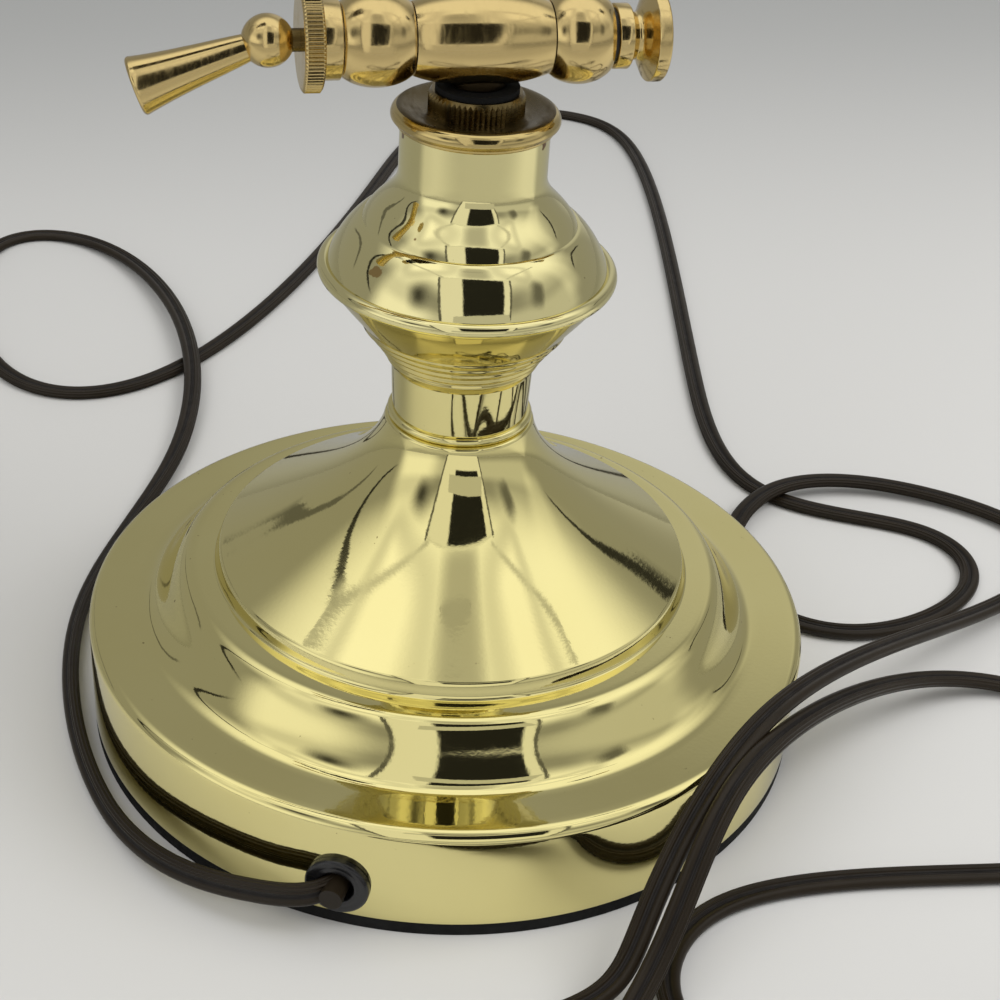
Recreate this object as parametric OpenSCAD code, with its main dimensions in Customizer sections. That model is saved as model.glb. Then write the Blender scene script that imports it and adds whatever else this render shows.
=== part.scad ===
// Bankers lamp: a weighted round base, a turned column, a cross tee with a rotary lever switch,
// a tilting two-armed yoke and a tilting glass shade. Millimetres, +Z up.
// The origin is the centre of the foot on the table, X runs along the tee, -Y is the front.

/* [Base] */
// Diameter of the round base
base_d = 178; // [165:1:195]
// Height of the base wall above the foot pad
wall_h = 27.2; // [24:0.1:32]
// Thickness of the foot pad
pad_t = 2; // [1.5:0.1:3]
// Set-back of the foot pad from the base wall
pad_inset = 0.6; // [0.2:0.1:1.5]
// Thickness of the spun brass shells
shell_t = 1.2; // [0.8:0.1:1.5]
// Radius of the rounded base edge
edge_r = 2.5; // [1.5:0.1:3.5]
// Width of the flat border round the base
border_w = 12.4; // [10:0.1:14]
// Width of the cove that rises from the border
cove_w = 13; // [11:0.1:15]
// Height of the cove
cove_h = 12.1; // [10:0.1:14]
// Width of the narrow flat ring inside the cove
ring_w = 5.1; // [4:0.1:6.5]
// Width of the round step inside the ring
step_w = 1.9; // [1.5:0.1:2.5]
// Height of the round step
step_h = 4.1; // [3:0.1:5]
// Height of the bell from the step to its lip
bell_h = 36.4; // [32:0.1:42]
// Outer radius of the bell's lip
lip_r = 17.7; // [17.4:0.1:19]
// Thickness of the iron weight's plate
weight_t = 10; // [7:0.5:12]
// Gap under the iron weight
weight_gap = 6; // [6:0.5:7]

/* [Column] */
// Outer radius of the neck at its foot
neck_r = 16; // [15.5:0.1:16.6]
// Height of the neck
neck_h = 13.8; // [11:0.1:17]
// Height of the ring at the neck's foot
neck_ring_h = 2.2; // [1.6:0.1:3]
// Outer radius of the shoulder's bead
shoulder_r = 33.9; // [31:0.1:36]
// Height of the ribbed lower shoulder
shoulder_low_h = 22.4; // [20:0.1:26]
// Number of spun ribs on the lower shoulder
rib_count = 5; // [3:1:7]
// Height of a spun rib
rib_h = 0.4; // [0.2:0.05:0.6]
// Radius of the shoulder's bead section
bead_r = 1.7; // [1.2:0.1:2.2]
// Height of the lower band of the upper shoulder
band_h = 13.4; // [11:0.1:16]
// Height of the upper band of the upper shoulder
dome_h = 11.2; // [9:0.1:13]
// Outer radius of the top cylinder
top_r = 16.4; // [15.8:0.1:17.2]
// Height of the top cylinder
top_h = 10.5; // [8:0.1:13]
// Outer radius of the collar cap
collar_r = 18.5; // [17.8:0.1:20]
// Height of the collar cap above the top cylinder
collar_h = 4.4; // [4:0.1:6]
// Radius of the knurled ring nut
ring_nut_r = 10.5; // [9.5:0.1:12]
// Height of the knurled ring nut
ring_nut_h = 4.6; // [3.5:0.1:6]
// Number of teeth on the ring nut
ring_nut_teeth = 54; // [40:1:70]
// Thickness of the black seat washer
seat_t = 1.2; // [0.8:0.1:2]
// Radius of the threaded centre tube
tube_r = 5; // [4.5:0.1:5.5]
// Wall of the centre tube
tube_wall = 1.4; // [1:0.1:1.7]

/* [Tee and switch] */
// Height from the seat washer to the tee's axis
tee_rise = 10; // [10:0.1:12]
// Half length of the middle barrel
barrel_half = 14.6; // [13.5:0.1:17]
// Largest radius of the barrel
barrel_r = 9.8; // [9.4:0.1:10.6]
// Radius of the seams between barrel and beads
seam_r = 7.6; // [7.2:0.1:8.2]
// Length of the left bead
left_bead_l = 14.8; // [13.5:0.1:17]
// Length of the right bead
right_bead_l = 12.8; // [12:0.1:15]
// Largest radius of the beads
yoke_bead_r = 9.9; // [9.4:0.1:10.8]
// Radius of the pivot spindles
spindle_r = 4; // [3.6:0.1:4.4]
// Running clearance of pins and shafts
run_gap = 0.05; // [0.03:0.01:0.08]
// Gap between faces that move past each other
face_gap = 0.3; // [0.2:0.05:0.5]
// Radius of the plain switch collar
switch_collar_r = 8.3; // [7.6:0.1:9]
// Length of the plain switch collar
switch_collar_l = 3.8; // [3:0.1:5]
// Radius of the knurled switch nut
switch_nut_r = 10.8; // [10:0.1:12]
// Length of the knurled switch nut
switch_nut_l = 4.4; // [4:0.1:6]
// Number of teeth on the switch nut
switch_nut_teeth = 78; // [50:1:84]
// Radius of the switch shaft
shaft_r = 2.4; // [2:0.1:2.6]
// Gap between the switch nut and the lever's ball
lever_gap = 1; // [0.6:0.1:2]
// Radius of the lever's ball
ball_r = 5.5; // [5:0.1:6.4]
// Length of the lever from the ball's centre to its end
lever_l = 28.8; // [24:0.2:34]
// Diameter of the lever at the ball
lever_d1 = 5.8; // [5:0.1:6.6]
// Diameter of the lever at its end
lever_d2 = 12.3; // [10:0.1:13]
// Slant of the lever below the tee's axis
lever_slant = 19; // [15:1:30]
// Radius of the clamp knob's ring
knob_ring_r = 6.9; // [6.2:0.1:7.6]
// Length of the clamp knob's ring
knob_ring_l = 3.4; // [2.6:0.1:4]
// Length of the clamp knob's groove
knob_groove_l = 4.4; // [4:0.1:6]
// Radius of the clamp knob's disc
knob_disc_r = 9.7; // [9:0.1:11]
// Thickness of the clamp knob's disc
knob_disc_t = 3; // [2.4:0.1:4]

/* [Yoke and shade] */
// Radius of the yoke's round arms
arm_r = 3.6; // [3.3:0.1:4]
// Bore of the arms for the wires
arm_bore = 4.8; // [4:0.1:5]
// Bend radius of the arms
arm_bend = 18; // [15:0.5:22]
// Height of the arms' level run above the tee's axis
arm_rise = 49; // [44:1:55]
// Height of the shade's pivot above the tee's axis
pivot_rise = 113; // [105:1:125]
// Length of the shade
shade_l = 230; // [210:1:250]
// Depth of the shade from front to back
shade_d = 132; // [120:1:150]
// Height of the shade
shade_h = 92; // [85:1:105]
// Thickness of the shade's glass
shade_t = 4; // [3:0.1:5]
// Height of the pivot above the shade's lower edge
pivot_up = 23; // [18:0.5:30]
// Radius of the hollow pivot nipple
nipple_r = 5; // [4.5:0.1:5.5]
// Radius of the hole in the shade's ends
shade_hole_r = 8; // [7:0.1:9]
// Gap between the shade's ends and the arms
shade_gap = 2.9; // [2:0.1:5]
// Radius of the shade knobs
shade_knob_r = 9; // [8:0.1:11]
// Length of the shade knobs
shade_knob_l = 12.5; // [11:0.5:16]
// Number of teeth on the shade knobs
shade_knob_teeth = 36; // [24:1:48]
// Outer radius of the lamp socket
socket_r = 17; // [16:0.1:19]
// Length of the socket's shell
socket_l = 38; // [34:0.5:44]
// Radius of the bulb
bulb_r = 15; // [14.5:0.1:17]
// Length of the bulb's glass past the socket
bulb_l = 110; // [90:1:120]
// Thickness of the bulb's glass
bulb_wall = 1; // [0.8:0.1:1.5]

/* [Cord] */
// Width of the flat two-core cord
cord_w = 5.6; // [5:0.1:6.4]
// Thickness of the flat cord
cord_t = 2.8; // [2.4:0.1:3.2]
// Height of the cord hole above the table
cord_hole_z = 12; // [11.5:0.1:14]
// Turn of the cord hole from the front, towards the left
cord_hole_turn = 26.5; // [20:0.5:35]
// Outer radius of the grommet's flange
grommet_r = 7.3; // [6.8:0.1:8.5]
// Bore of the grommet
grommet_bore = 7.6; // [7.2:0.1:8]
// Length of the plug's tapered strain relief
relief_l = 22; // [20:1:30]
// Length of the plug's body
plug_l = 30; // [26:1:34]
// Width of the plug's body
plug_w = 24; // [22:1:28]
// Thickness of the plug's body
plug_t = 11; // [9:0.5:13]

/* [Hidden] */
$fn = 96;
eps = 0.01;
curve_steps = 14;

// Colours
plate_brass = "#d9cf7e";
cast_brass = "#b98f45";
black = "#1b1a19";
cord_brown = "#3a2a22";
iron = "#4a4a4c";
steel = "#b8babd";
glass_green = "#0f6b3c";
opal = "#f2efe6";

// Radii and levels of the base, from the wall inwards
base_r = base_d / 2;
border_r = base_r - border_w;
cove_r = border_r - cove_w;
step_r = cove_r - ring_w;
bell_r = step_r - step_w;
border_z = pad_t + wall_h;
ring_z = border_z + cove_h;
step_z = ring_z + step_h;
lip_z = step_z + bell_h;

// Levels of the column
neck_top_z = lip_z + neck_h;
shoulder_z = neck_top_z + shoulder_low_h;
band_z = shoulder_z + band_h;
dome_z = band_z + dome_h;
top_z = dome_z + top_h;
collar_z = top_z + collar_h;
collar_dish = 0.9;
ring_nut_z = collar_z - collar_dish;
seat_z = ring_nut_z + ring_nut_h;
boss_z = seat_z + seat_t;
tee_z = boss_z + tee_rise;
tube_bore = tube_r - tube_wall;

// Places along the tee, measured outwards from its middle
cavity_r = 6.2;
cavity_half = barrel_half - 2.2;
tube_top_z = tee_z - cavity_r - 0.3;
left_bead_x = barrel_half + face_gap;
left_bead_end = left_bead_x + left_bead_l;
switch_collar_x = left_bead_end + face_gap;
switch_nut_x = switch_collar_x + switch_collar_l;
switch_nut_end = switch_nut_x + switch_nut_l;
nut_face = 1.6;
ball_x = switch_nut_end + lever_gap + ball_r;
right_bead_x = barrel_half + face_gap;
right_bead_end = right_bead_x + right_bead_l;
clamp_washer_t = 0.8;
clamp_washer_x = right_bead_end + face_gap;
knob_x = clamp_washer_x + clamp_washer_t;
knob_end = knob_x + knob_ring_l + knob_groove_l + knob_disc_t;
screw_r = 2;
flange_r = cavity_r - 0.1;
flange_t = 2;
switch_in_x = 2.4;

// Places of the yoke and the shade
pivot_z = tee_z + pivot_rise;
arm_run_z = tee_z + arm_rise;
left_arm_x = left_bead_x + left_bead_l / 2;
right_arm_x = right_bead_x + right_bead_l / 2;
arm_foot = 5.6;
shade_a = shade_l / 2;
shade_b = shade_d / 2;
shade_z = pivot_z - pivot_up;
arm_x = shade_a + shade_gap + arm_r;
eye_t = 2 * arm_r + 0.4;
eye_x = arm_x - eye_t / 2;
eye_r = 8;
bushing_flange_r = 11;
shade_knob_x = arm_x + eye_t / 2 + face_gap;
nipple_end = shade_knob_x + shade_knob_l - 3.5;
inner_wall_x = shade_a - shade_t - 1.8;
bushing_in_x = inner_wall_x - 3.4;
socket_cap_l = 12;
socket_x = bushing_in_x - face_gap - socket_cap_l;
socket_end = socket_x - socket_l;
liner_t = 0.8;
socket_wall = 0.9;
bulb_cap_r = 13;
bulb_cap_l = 24;
core_l = 10;

// Places of the cord hole
grommet_lip = 1.8;
hole_r = grommet_r - 1.2;
wall_in_r = base_r - shell_t;
cord_hole_out = base_r + grommet_lip;
cord_start = cord_hole_out + cord_w / 2 + 0.8;
cord_hole_dir = [-sin(cord_hole_turn), -cos(cord_hole_turn)];

// Curves

// Points of a cubic curve from a to d with the handles b and c, the last point left out
function curve(a, b, c, d, n = curve_steps) =
    [for (i = [0 : n - 1])
        let (t = i / n, s = 1 - t)
        s * s * s * a + 3 * s * s * t * b + 3 * s * t * t * c + t * t * t * d];

// Points of an arc about c, the last point left out
function arc(c, r, from, to, n = curve_steps) =
    [for (i = [0 : n - 1])
        let (w = from + (to - from) * i / n)
        c + r * [cos(w), sin(w)]];

function unit(v) = v / norm(v);

// A profile moved to its left by t, for the inside of a shell
function inset(p, t) =
    [for (i = [0 : len(p) - 1])
        let (along = unit(p[min(i + 1, len(p) - 1)] - p[max(i - 1, 0)]))
        p[i] + t * [-along[1], along[0]]];

function reversed(p) = [for (i = [len(p) - 1 : -1 : 0]) p[i]];

// Outline of a straight-knurled wheel
function knurl(r, teeth, depth) =
    [for (i = [0 : 2 * teeth - 1])
        let (w = 180 * i / teeth)
        (r - (i % 2) * depth) * [cos(w), sin(w)]];

// Shapes used by several pieces

module turned(profile) {
    rotate_extrude() polygon(profile);
}

// A profile of [radius, distance] turned about the tee's axis, towards +X or -X
module turned_x(profile, side = 1) {
    translate([0, 0, tee_z]) rotate([0, 90 * side, 0]) turned(profile);
}

module rod_x(r, from, to, z, side = 1) {
    translate([side * from, 0, z]) rotate([0, 90 * side, 0]) cylinder(r = r, h = to - from);
}

// Outline of a bead along the tee: a bulge between two seams
function bulge(from, to, end_r, mid_r) =
    let (third = (to - from) / 4, rise = (mid_r - end_r) * 4 / 3)
    concat(
        curve([end_r, from], [end_r + rise, from + third], [end_r + rise, to - third], [end_r, to]),
        [[end_r, to]]
    );

module along_cord_hole(from, to, r) {
    rotate([0, 0, -90 - cord_hole_turn])
        translate([from, 0, cord_hole_z])
            rotate([0, 90, 0])
                cylinder(r = r, h = to - from);
}

// Base

// Outer line of the base shell, from the foot of the wall up to the lip
base_line = concat(
    [[base_r, pad_t]],
    arc([base_r - edge_r, border_z - edge_r], edge_r, 0, 90, 8),
    [[base_r - edge_r, border_z]],
    curve([border_r, border_z], [border_r - 0.47 * cove_w, border_z + 0.02 * cove_h],
        [cove_r + 0.38 * cove_w, ring_z], [cove_r, ring_z]),
    [[cove_r, ring_z]],
    curve([step_r, ring_z], [step_r - 0.5 * step_w, ring_z + 0.08 * step_h],
        [bell_r + 0.6 * step_w, step_z - 0.1 * step_h], [bell_r, step_z], 6),
    curve([bell_r, step_z], [bell_r - 20, step_z + 12], [lip_r + 3, lip_z - 14], [lip_r, lip_z - 1], 24),
    [[lip_r, lip_z - 1], [lip_r - 0.5, lip_z]]
);

module base_shell() {
    inner = [for (p = inset(base_line, shell_t)) if (p[1] < lip_z - shell_t - 0.5) p];
    color(plate_brass) difference() {
        turned(concat(
            [[wall_in_r, pad_t]],
            base_line,
            [[tube_r, lip_z], [tube_r, lip_z - shell_t], [lip_r - shell_t - 0.4, lip_z - shell_t]],
            reversed([for (p = inner) if (p[1] > pad_t + 1) p])
        ));
        along_cord_hole(base_r - 6, base_r + 3, hole_r);
    }
}

// Cast iron plate with a rim that carries the shell's flat border and a slot for the cord
module base_weight() {
    plate_z = pad_t + weight_gap;
    rim_in = border_r + 1;
    rim_out = base_r - edge_r - 2;
    slot_w = 2 * grommet_r + 1;
    color(iron) difference() {
        turned([
            [tube_r, plate_z], [rim_out, plate_z], [rim_out, border_z - shell_t],
            [rim_in, border_z - shell_t], [rim_in, plate_z + weight_t], [tube_r, plate_z + weight_t]
        ]);
        rotate([0, 0, -90 - cord_hole_turn])
            translate([0, -slot_w / 2, pad_t])
                cube([base_r, slot_w, cord_hole_z + grommet_r]);
    }
}

module base_pad() {
    color(black) cylinder(r = base_r - pad_inset, h = pad_t);
}

module cord_grommet() {
    color(black) difference() {
        union() {
            along_cord_hole(base_r, cord_hole_out, grommet_r);
            along_cord_hole(wall_in_r - 4, base_r + eps, hole_r);
        }
        along_cord_hole(wall_in_r - 10, base_r + 10, grommet_bore / 2);
    }
}

module centre_tube() {
    foot_z = pad_t + 0.8;
    color(steel) difference() {
        translate([0, 0, foot_z]) cylinder(r = tube_r, h = tube_top_z - foot_z);
        translate([0, 0, foot_z - 1]) cylinder(r = tube_bore, h = tube_top_z + 2);
        along_cord_hole(0, tube_r + 2, tube_bore - 0.6);
    }
}

module pipe_washer() {
    color(steel) difference() {
        translate([0, 0, pad_t + weight_gap - 1.4]) cylinder(r = 2 * tube_r, h = 1.4);
        cylinder(r = tube_r, h = border_z);
    }
}

module pipe_locknut() {
    nut_h = 3.4;
    color(steel) difference() {
        translate([0, 0, pad_t + weight_gap - 1.4 - nut_h]) cylinder(r = 1.7 * tube_r, h = nut_h, $fn = 6);
        cylinder(r = tube_r, h = border_z);
    }
}

// Column

module neck_ring() {
    out_r = lip_r - 0.6;
    color(plate_brass) translate([0, 0, lip_z]) turned(concat(
        [[neck_r - shell_t, 0]],
        [[out_r - neck_ring_h / 2, 0]],
        arc([out_r - neck_ring_h / 2, neck_ring_h / 2], neck_ring_h / 2, -80, 80, 12),
        [[out_r - neck_ring_h / 2, neck_ring_h], [neck_r - shell_t, neck_ring_h]]
    ));
}

module neck_sleeve() {
    flare = 0.5;
    foot_z = lip_z + neck_ring_h;
    color(plate_brass) turned([
        [neck_r - shell_t, foot_z], [neck_r, foot_z], [neck_r + flare, neck_top_z],
        [neck_r + flare - shell_t, neck_top_z]
    ]);
}

// Outer line of the lower shoulder; the ribs are waves on it
function shoulder_line(n) =
    let (
        foot_r = neck_r + 0.6,
        head_r = shoulder_r - bead_r,
        plain = concat(
            curve([foot_r, neck_top_z], [foot_r + 0.8, neck_top_z + 5.4],
                [head_r - 6, shoulder_z - 9], [head_r, shoulder_z], n),
            [[head_r, shoulder_z]]
        )
    )
    [for (i = [0 : n])
        let (
            t = i / n,
            wave = t > 0.08 && t < 0.58 ? pow(sin(180 * rib_count * (t - 0.08) / 0.5), 2) : 0,
            along = unit(plain[min(i + 1, n)] - plain[max(i - 1, 0)])
        )
        plain[i] + rib_h * wave * [along[1], -along[0]]];

module vase_lower() {
    outer = shoulder_line(60);
    inner = inset(shoulder_line(24), shell_t + rib_h);
    inside = [for (p = inner) if (p[1] > neck_top_z + 1.5 && p[1] < shoulder_z - 1) p];
    color(plate_brass) turned(concat(
        outer,
        [[shoulder_r - bead_r - shell_t, shoulder_z]],
        reversed(inside),
        [[tube_r, neck_top_z + shell_t], [tube_r, neck_top_z]]
    ));
}

// Outer line of the upper shoulder, from the bead to the foot of the top cylinder
upper_line = concat(
    arc([shoulder_r - bead_r, shoulder_z + bead_r], bead_r, -90, 100, 12),
    curve([shoulder_r - 1.25 * bead_r, shoulder_z + 1.9 * bead_r], [shoulder_r - 3.6, shoulder_z + 7],
        [shoulder_r - 6.4, band_z - 1.9], [shoulder_r - 9.6, band_z], 14),
    curve([shoulder_r - 9.9, band_z], [shoulder_r - 12.2, band_z + 4.6],
        [top_r + 0.3, dome_z - 5], [top_r, dome_z], 18),
    [[top_r, dome_z], [top_r, top_z]]
);

module vase_upper() {
    inner = [for (p = inset(upper_line, shell_t)) if (p[1] > shoulder_z + 3 && p[1] < top_z - eps) p];
    color(plate_brass) turned(concat(
        upper_line,
        [[top_r - shell_t, top_z]],
        reversed(inner),
        [[shoulder_r - bead_r - shell_t - 1.2, shoulder_z]]
    ));
}

module collar_cap() {
    edge = 2.2;
    skirt_r = top_r + 0.9;
    spigot_r = top_r - shell_t;
    spigot_h = 4;
    color(cast_brass) turned(concat(
        [[tube_r, top_z - spigot_h], [spigot_r, top_z - spigot_h], [spigot_r, top_z], [skirt_r, top_z]],
        curve([skirt_r, top_z + 0.6], [skirt_r + 0.1, top_z + 1.2], [collar_r, collar_z - edge - 1.0],
            [collar_r, collar_z - edge], 8),
        arc([collar_r - edge, collar_z - edge], edge, 0, 90, 6),
        [[collar_r - edge, collar_z]],
        curve([collar_r - edge, collar_z], [collar_r - edge - 1.6, collar_z], [ring_nut_r + 2, ring_nut_z],
            [ring_nut_r + 0.5, ring_nut_z], 8),
        [[ring_nut_r, ring_nut_z], [tube_r, ring_nut_z]]
    ));
}

module ring_nut() {
    tooth = 0.45;
    bevel_h = 1.1;
    bevel_r = ring_nut_r - tooth - 0.1;
    color(cast_brass) difference() {
        translate([0, 0, ring_nut_z]) union() {
            linear_extrude(ring_nut_h - bevel_h) polygon(knurl(ring_nut_r, ring_nut_teeth, tooth));
            translate([0, 0, ring_nut_h - bevel_h]) cylinder(r1 = bevel_r, r2 = bevel_r - 0.4, h = bevel_h);
        }
        translate([0, 0, ring_nut_z - 1]) cylinder(r = tube_r, h = ring_nut_h + 2);
    }
}

module seat_washer() {
    color(black) difference() {
        translate([0, 0, seat_z]) cylinder(r = ring_nut_r - 1.4, h = seat_t);
        translate([0, 0, seat_z - 1]) cylinder(r = tube_r, h = seat_t + 2);
    }
}

// Tee

module tee_barrel() {
    boss_wall = 1;
    boss_r = tube_r + boss_wall;
    color(cast_brass) difference() {
        union() {
            translate([0, 0, tee_z]) rotate([0, 90, 0])
                turned(concat([[0, -barrel_half]], bulge(-barrel_half, barrel_half, seam_r, barrel_r), [[0, barrel_half]]));
            translate([0, 0, boss_z]) cylinder(r = boss_r, h = tee_rise);
        }
        translate([-cavity_half, 0, tee_z]) rotate([0, 90, 0]) cylinder(r = cavity_r, h = 2 * cavity_half);
        translate([-barrel_half - 1, 0, tee_z]) rotate([0, 90, 0]) cylinder(r = spindle_r, h = 2 * barrel_half + 2);
        translate([0, 0, boss_z - 1]) cylinder(r = tube_r, h = tube_top_z - boss_z + 1);
        translate([0, 0, boss_z - 1]) cylinder(r = tube_bore, h = tee_rise + 1);
    }
}

// Hollow spindle that carries the left bead and the switch
module left_spindle() {
    color(steel) difference() {
        union() {
            rod_x(spindle_r, cavity_half, switch_nut_end - nut_face, tee_z, -1);
            rod_x(flange_r, cavity_half - flange_t, cavity_half, tee_z, -1);
        }
        rod_x(shaft_r + run_gap, 0, switch_nut_end, tee_z, -1);
    }
}

// Spindle that carries the right bead and takes the clamp knob's screw
module right_spindle() {
    color(steel) difference() {
        union() {
            rod_x(spindle_r, cavity_half, right_bead_end, tee_z);
            rod_x(flange_r, cavity_half - flange_t, cavity_half, tee_z);
        }
        rod_x(screw_r + run_gap, 0, right_bead_end + 1, tee_z);
    }
}

module switch_body() {
    color(black) difference() {
        rod_x(flange_r, switch_in_x, cavity_half - flange_t, tee_z, -1);
        rod_x(shaft_r + run_gap, switch_in_x + 1.5, cavity_half, tee_z, -1);
    }
}

module switch_collar() {
    color(cast_brass) difference() {
        rod_x(switch_collar_r, switch_collar_x, switch_nut_x, tee_z, -1);
        rod_x(spindle_r, switch_collar_x - 1, switch_nut_x + 1, tee_z, -1);
    }
}

module switch_nut() {
    lip_l = 0.8;
    lip_inset = 0.8;
    color(cast_brass) difference() {
        union() {
            translate([-switch_nut_end + lip_l, 0, tee_z]) rotate([0, 90, 0])
                linear_extrude(switch_nut_l - lip_l) polygon(knurl(switch_nut_r, switch_nut_teeth, 0.45));
            translate([-switch_nut_end, 0, tee_z]) rotate([0, 90, 0])
                cylinder(r1 = switch_nut_r - 2 * lip_inset, r2 = switch_nut_r - lip_inset, h = lip_l);
        }
        rod_x(spindle_r, switch_nut_x - 1, switch_nut_end - nut_face, tee_z, -1);
        rod_x(shaft_r + run_gap, switch_nut_x, switch_nut_end + 1, tee_z, -1);
    }
}

module switch_shaft() {
    color(steel) rod_x(shaft_r, switch_in_x + 2.5, ball_x - ball_r + 1, tee_z, -1);
}

module switch_lever() {
    color(cast_brass) translate([-ball_x, 0, tee_z]) difference() {
        union() {
            sphere(r = ball_r);
            rotate([0, -90 - lever_slant, 0]) rotate_extrude() polygon(concat(
                [[0, 0], [lever_d1 / 2 - 0.4, 0], [lever_d1 / 2, ball_r - 0.6]],
                [[lever_d2 / 2, lever_l - 1]],
                arc([lever_d2 / 2 - 1, lever_l - 1], 1, 0, 90, 5),
                [[lever_d2 / 2 - 1, lever_l], [0, lever_l]]
            ));
        }
        rotate([0, 90, 0]) translate([0, 0, ball_r - 1]) cylinder(r = shaft_r, h = ball_r);
    }
}

module clamp_knob() {
    groove_x = knob_x + knob_ring_l;
    disc_x = groove_x + knob_groove_l;
    groove_r = knob_ring_r - 1.9;
    color(cast_brass) union() {
        turned_x(concat(
            [[0, knob_x], [knob_ring_r, knob_x], [knob_ring_r, groove_x]],
            curve([groove_r + 0.8, groove_x], [groove_r - 0.5, groove_x + 1.6],
                [groove_r - 0.5, disc_x - 2], [knob_disc_r - 1.4, disc_x - 0.6], 10),
            [[knob_disc_r - 0.4, disc_x], [knob_disc_r, disc_x + 0.4], [knob_disc_r, knob_end - 0.6],
             [knob_disc_r - 0.6, knob_end], [0, knob_end]]
        ));
        rod_x(screw_r, cavity_half + 3, knob_x + eps, tee_z);
    }
}

module clamp_washer() {
    color(black) difference() {
        rod_x(knob_ring_r - 0.9, clamp_washer_x, knob_x, tee_z);
        rod_x(screw_r + run_gap, clamp_washer_x - 1, knob_x + 1, tee_z);
    }
}

// Yoke

module yoke_bead(side, from, length, arm_at) {
    color(cast_brass) difference() {
        turned_x(concat([[0, from]], bulge(from, from + length, seam_r, yoke_bead_r), [[0, from + length]]), side);
        rod_x(spindle_r + run_gap, from - 1, from + length + 1, tee_z, side);
        translate([side * arm_at, 0, tee_z + arm_foot]) cylinder(r = arm_r, h = yoke_bead_r);
    }
}

module yoke_bead_left() { yoke_bead(-1, left_bead_x, left_bead_l, left_arm_x); }
module yoke_bead_right() { yoke_bead(1, right_bead_x, right_bead_l, right_arm_x); }

// The line of one arm as a round bar: up, out along a level run, and up to the eye
module arm_bar(r, foot_x) {
    low_z = arm_run_z - arm_bend;
    high_z = arm_run_z + arm_bend;
    translate([foot_x, 0, tee_z + arm_foot]) cylinder(r = r, h = low_z - tee_z - arm_foot);
    translate([foot_x + arm_bend, 0, low_z]) rotate([90, 0, 0])
        rotate([0, 0, 90]) rotate_extrude(angle = 90) translate([arm_bend, 0]) circle(r = r);
    translate([foot_x + arm_bend, 0, arm_run_z]) rotate([0, 90, 0])
        cylinder(r = r, h = arm_x - foot_x - 2 * arm_bend);
    translate([arm_x - arm_bend, 0, high_z]) rotate([90, 0, 0])
        rotate([0, 0, -90]) rotate_extrude(angle = 90) translate([arm_bend, 0]) circle(r = r);
    translate([arm_x, 0, high_z]) cylinder(r = r, h = pivot_z - high_z - eye_r / 2);
}

module yoke_arm(side, foot_x) {
    color(cast_brass) mirror([side < 0 ? 1 : 0, 0, 0]) difference() {
        union() {
            arm_bar(arm_r, foot_x);
            rod_x(eye_r, eye_x, eye_x + eye_t, pivot_z);
        }
        arm_bar(arm_bore / 2, foot_x);
        rod_x(nipple_r, eye_x - 5, eye_x + eye_t + 5, pivot_z);
    }
}

module arm_left() { yoke_arm(-1, left_arm_x); }
module arm_right() { yoke_arm(1, right_arm_x); }

// Hollow nipple on the left: the shade turns on it and the socket screws to it
module pivot_nipple() {
    color(steel) difference() {
        rod_x(nipple_r, socket_x + 2, nipple_end, pivot_z, -1);
        rod_x(nipple_r - 1.8, socket_x, nipple_end + 1, pivot_z, -1);
    }
}

module pivot_stud() {
    head_r = 9;
    color(steel) union() {
        rod_x(nipple_r, bushing_in_x - face_gap, nipple_end, pivot_z);
        rod_x(head_r, bushing_in_x - face_gap - 3, bushing_in_x - face_gap, pivot_z);
    }
}

module shade_knob(side) {
    plain_l = 3;
    color(cast_brass) difference() {
        union() {
            translate([side * shade_knob_x, 0, pivot_z]) rotate([0, 90 * side, 0]) {
                linear_extrude(shade_knob_l - plain_l) polygon(knurl(shade_knob_r, shade_knob_teeth, 0.5));
                translate([0, 0, shade_knob_l - plain_l]) turned(concat(
                    [[0, 0]],
                    arc([shade_knob_r - plain_l, 0], plain_l - 0.4, 0, 90, 8),
                    [[shade_knob_r - plain_l, plain_l - 0.4], [0, plain_l]]
                ));
            }
        }
        rod_x(nipple_r + run_gap, shade_knob_x - 1, nipple_end + 0.5, pivot_z, side);
    }
}

module shade_knob_left() { shade_knob(-1); }
module shade_knob_right() { shade_knob(1); }

// Socket and bulb, on the shade's axis, from the left

module socket_cap() {
    color(cast_brass) translate([-socket_x - socket_cap_l, 0, pivot_z]) rotate([0, 90, 0]) difference() {
        turned(concat(
            [[0, 0], [nipple_r + 3, 0]],
            curve([nipple_r + 3, 0.5], [nipple_r + 5, 2], [socket_r - 0.5, 4], [socket_r, 8], 8),
            [[socket_r, 8], [socket_r, socket_cap_l], [0, socket_cap_l]]
        ));
        translate([0, 0, -1]) cylinder(r = nipple_r, h = socket_cap_l - 1);
        translate([0, 0, -1]) cylinder(r = nipple_r - 1.8, h = socket_cap_l + 2);
    }
}

module socket_shell() {
    color(cast_brass) difference() {
        rod_x(socket_r, socket_end, socket_x, pivot_z, -1);
        rod_x(socket_r - socket_wall, socket_end - 1, socket_x + 1, pivot_z, -1);
    }
}

module socket_liner() {
    out_r = socket_r - socket_wall;
    color("#7a6248") difference() {
        rod_x(out_r, socket_end + 1, socket_x, pivot_z, -1);
        rod_x(out_r - liner_t, socket_end, socket_x + 1, pivot_z, -1);
    }
}

module socket_core() {
    core_r = socket_r - socket_wall - liner_t;
    color(black) difference() {
        rod_x(core_r, socket_end + 2, socket_x, pivot_z, -1);
        rod_x(bulb_cap_r, socket_end + 1, socket_x - core_l, pivot_z, -1);
        rod_x(nipple_r - 1.8, socket_x - core_l + 3, socket_x + 1, pivot_z, -1);
    }
}

module bulb_cap() {
    color(steel) rod_x(bulb_cap_r, socket_x - core_l - bulb_cap_l, socket_x - core_l, pivot_z, -1);
}

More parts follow.
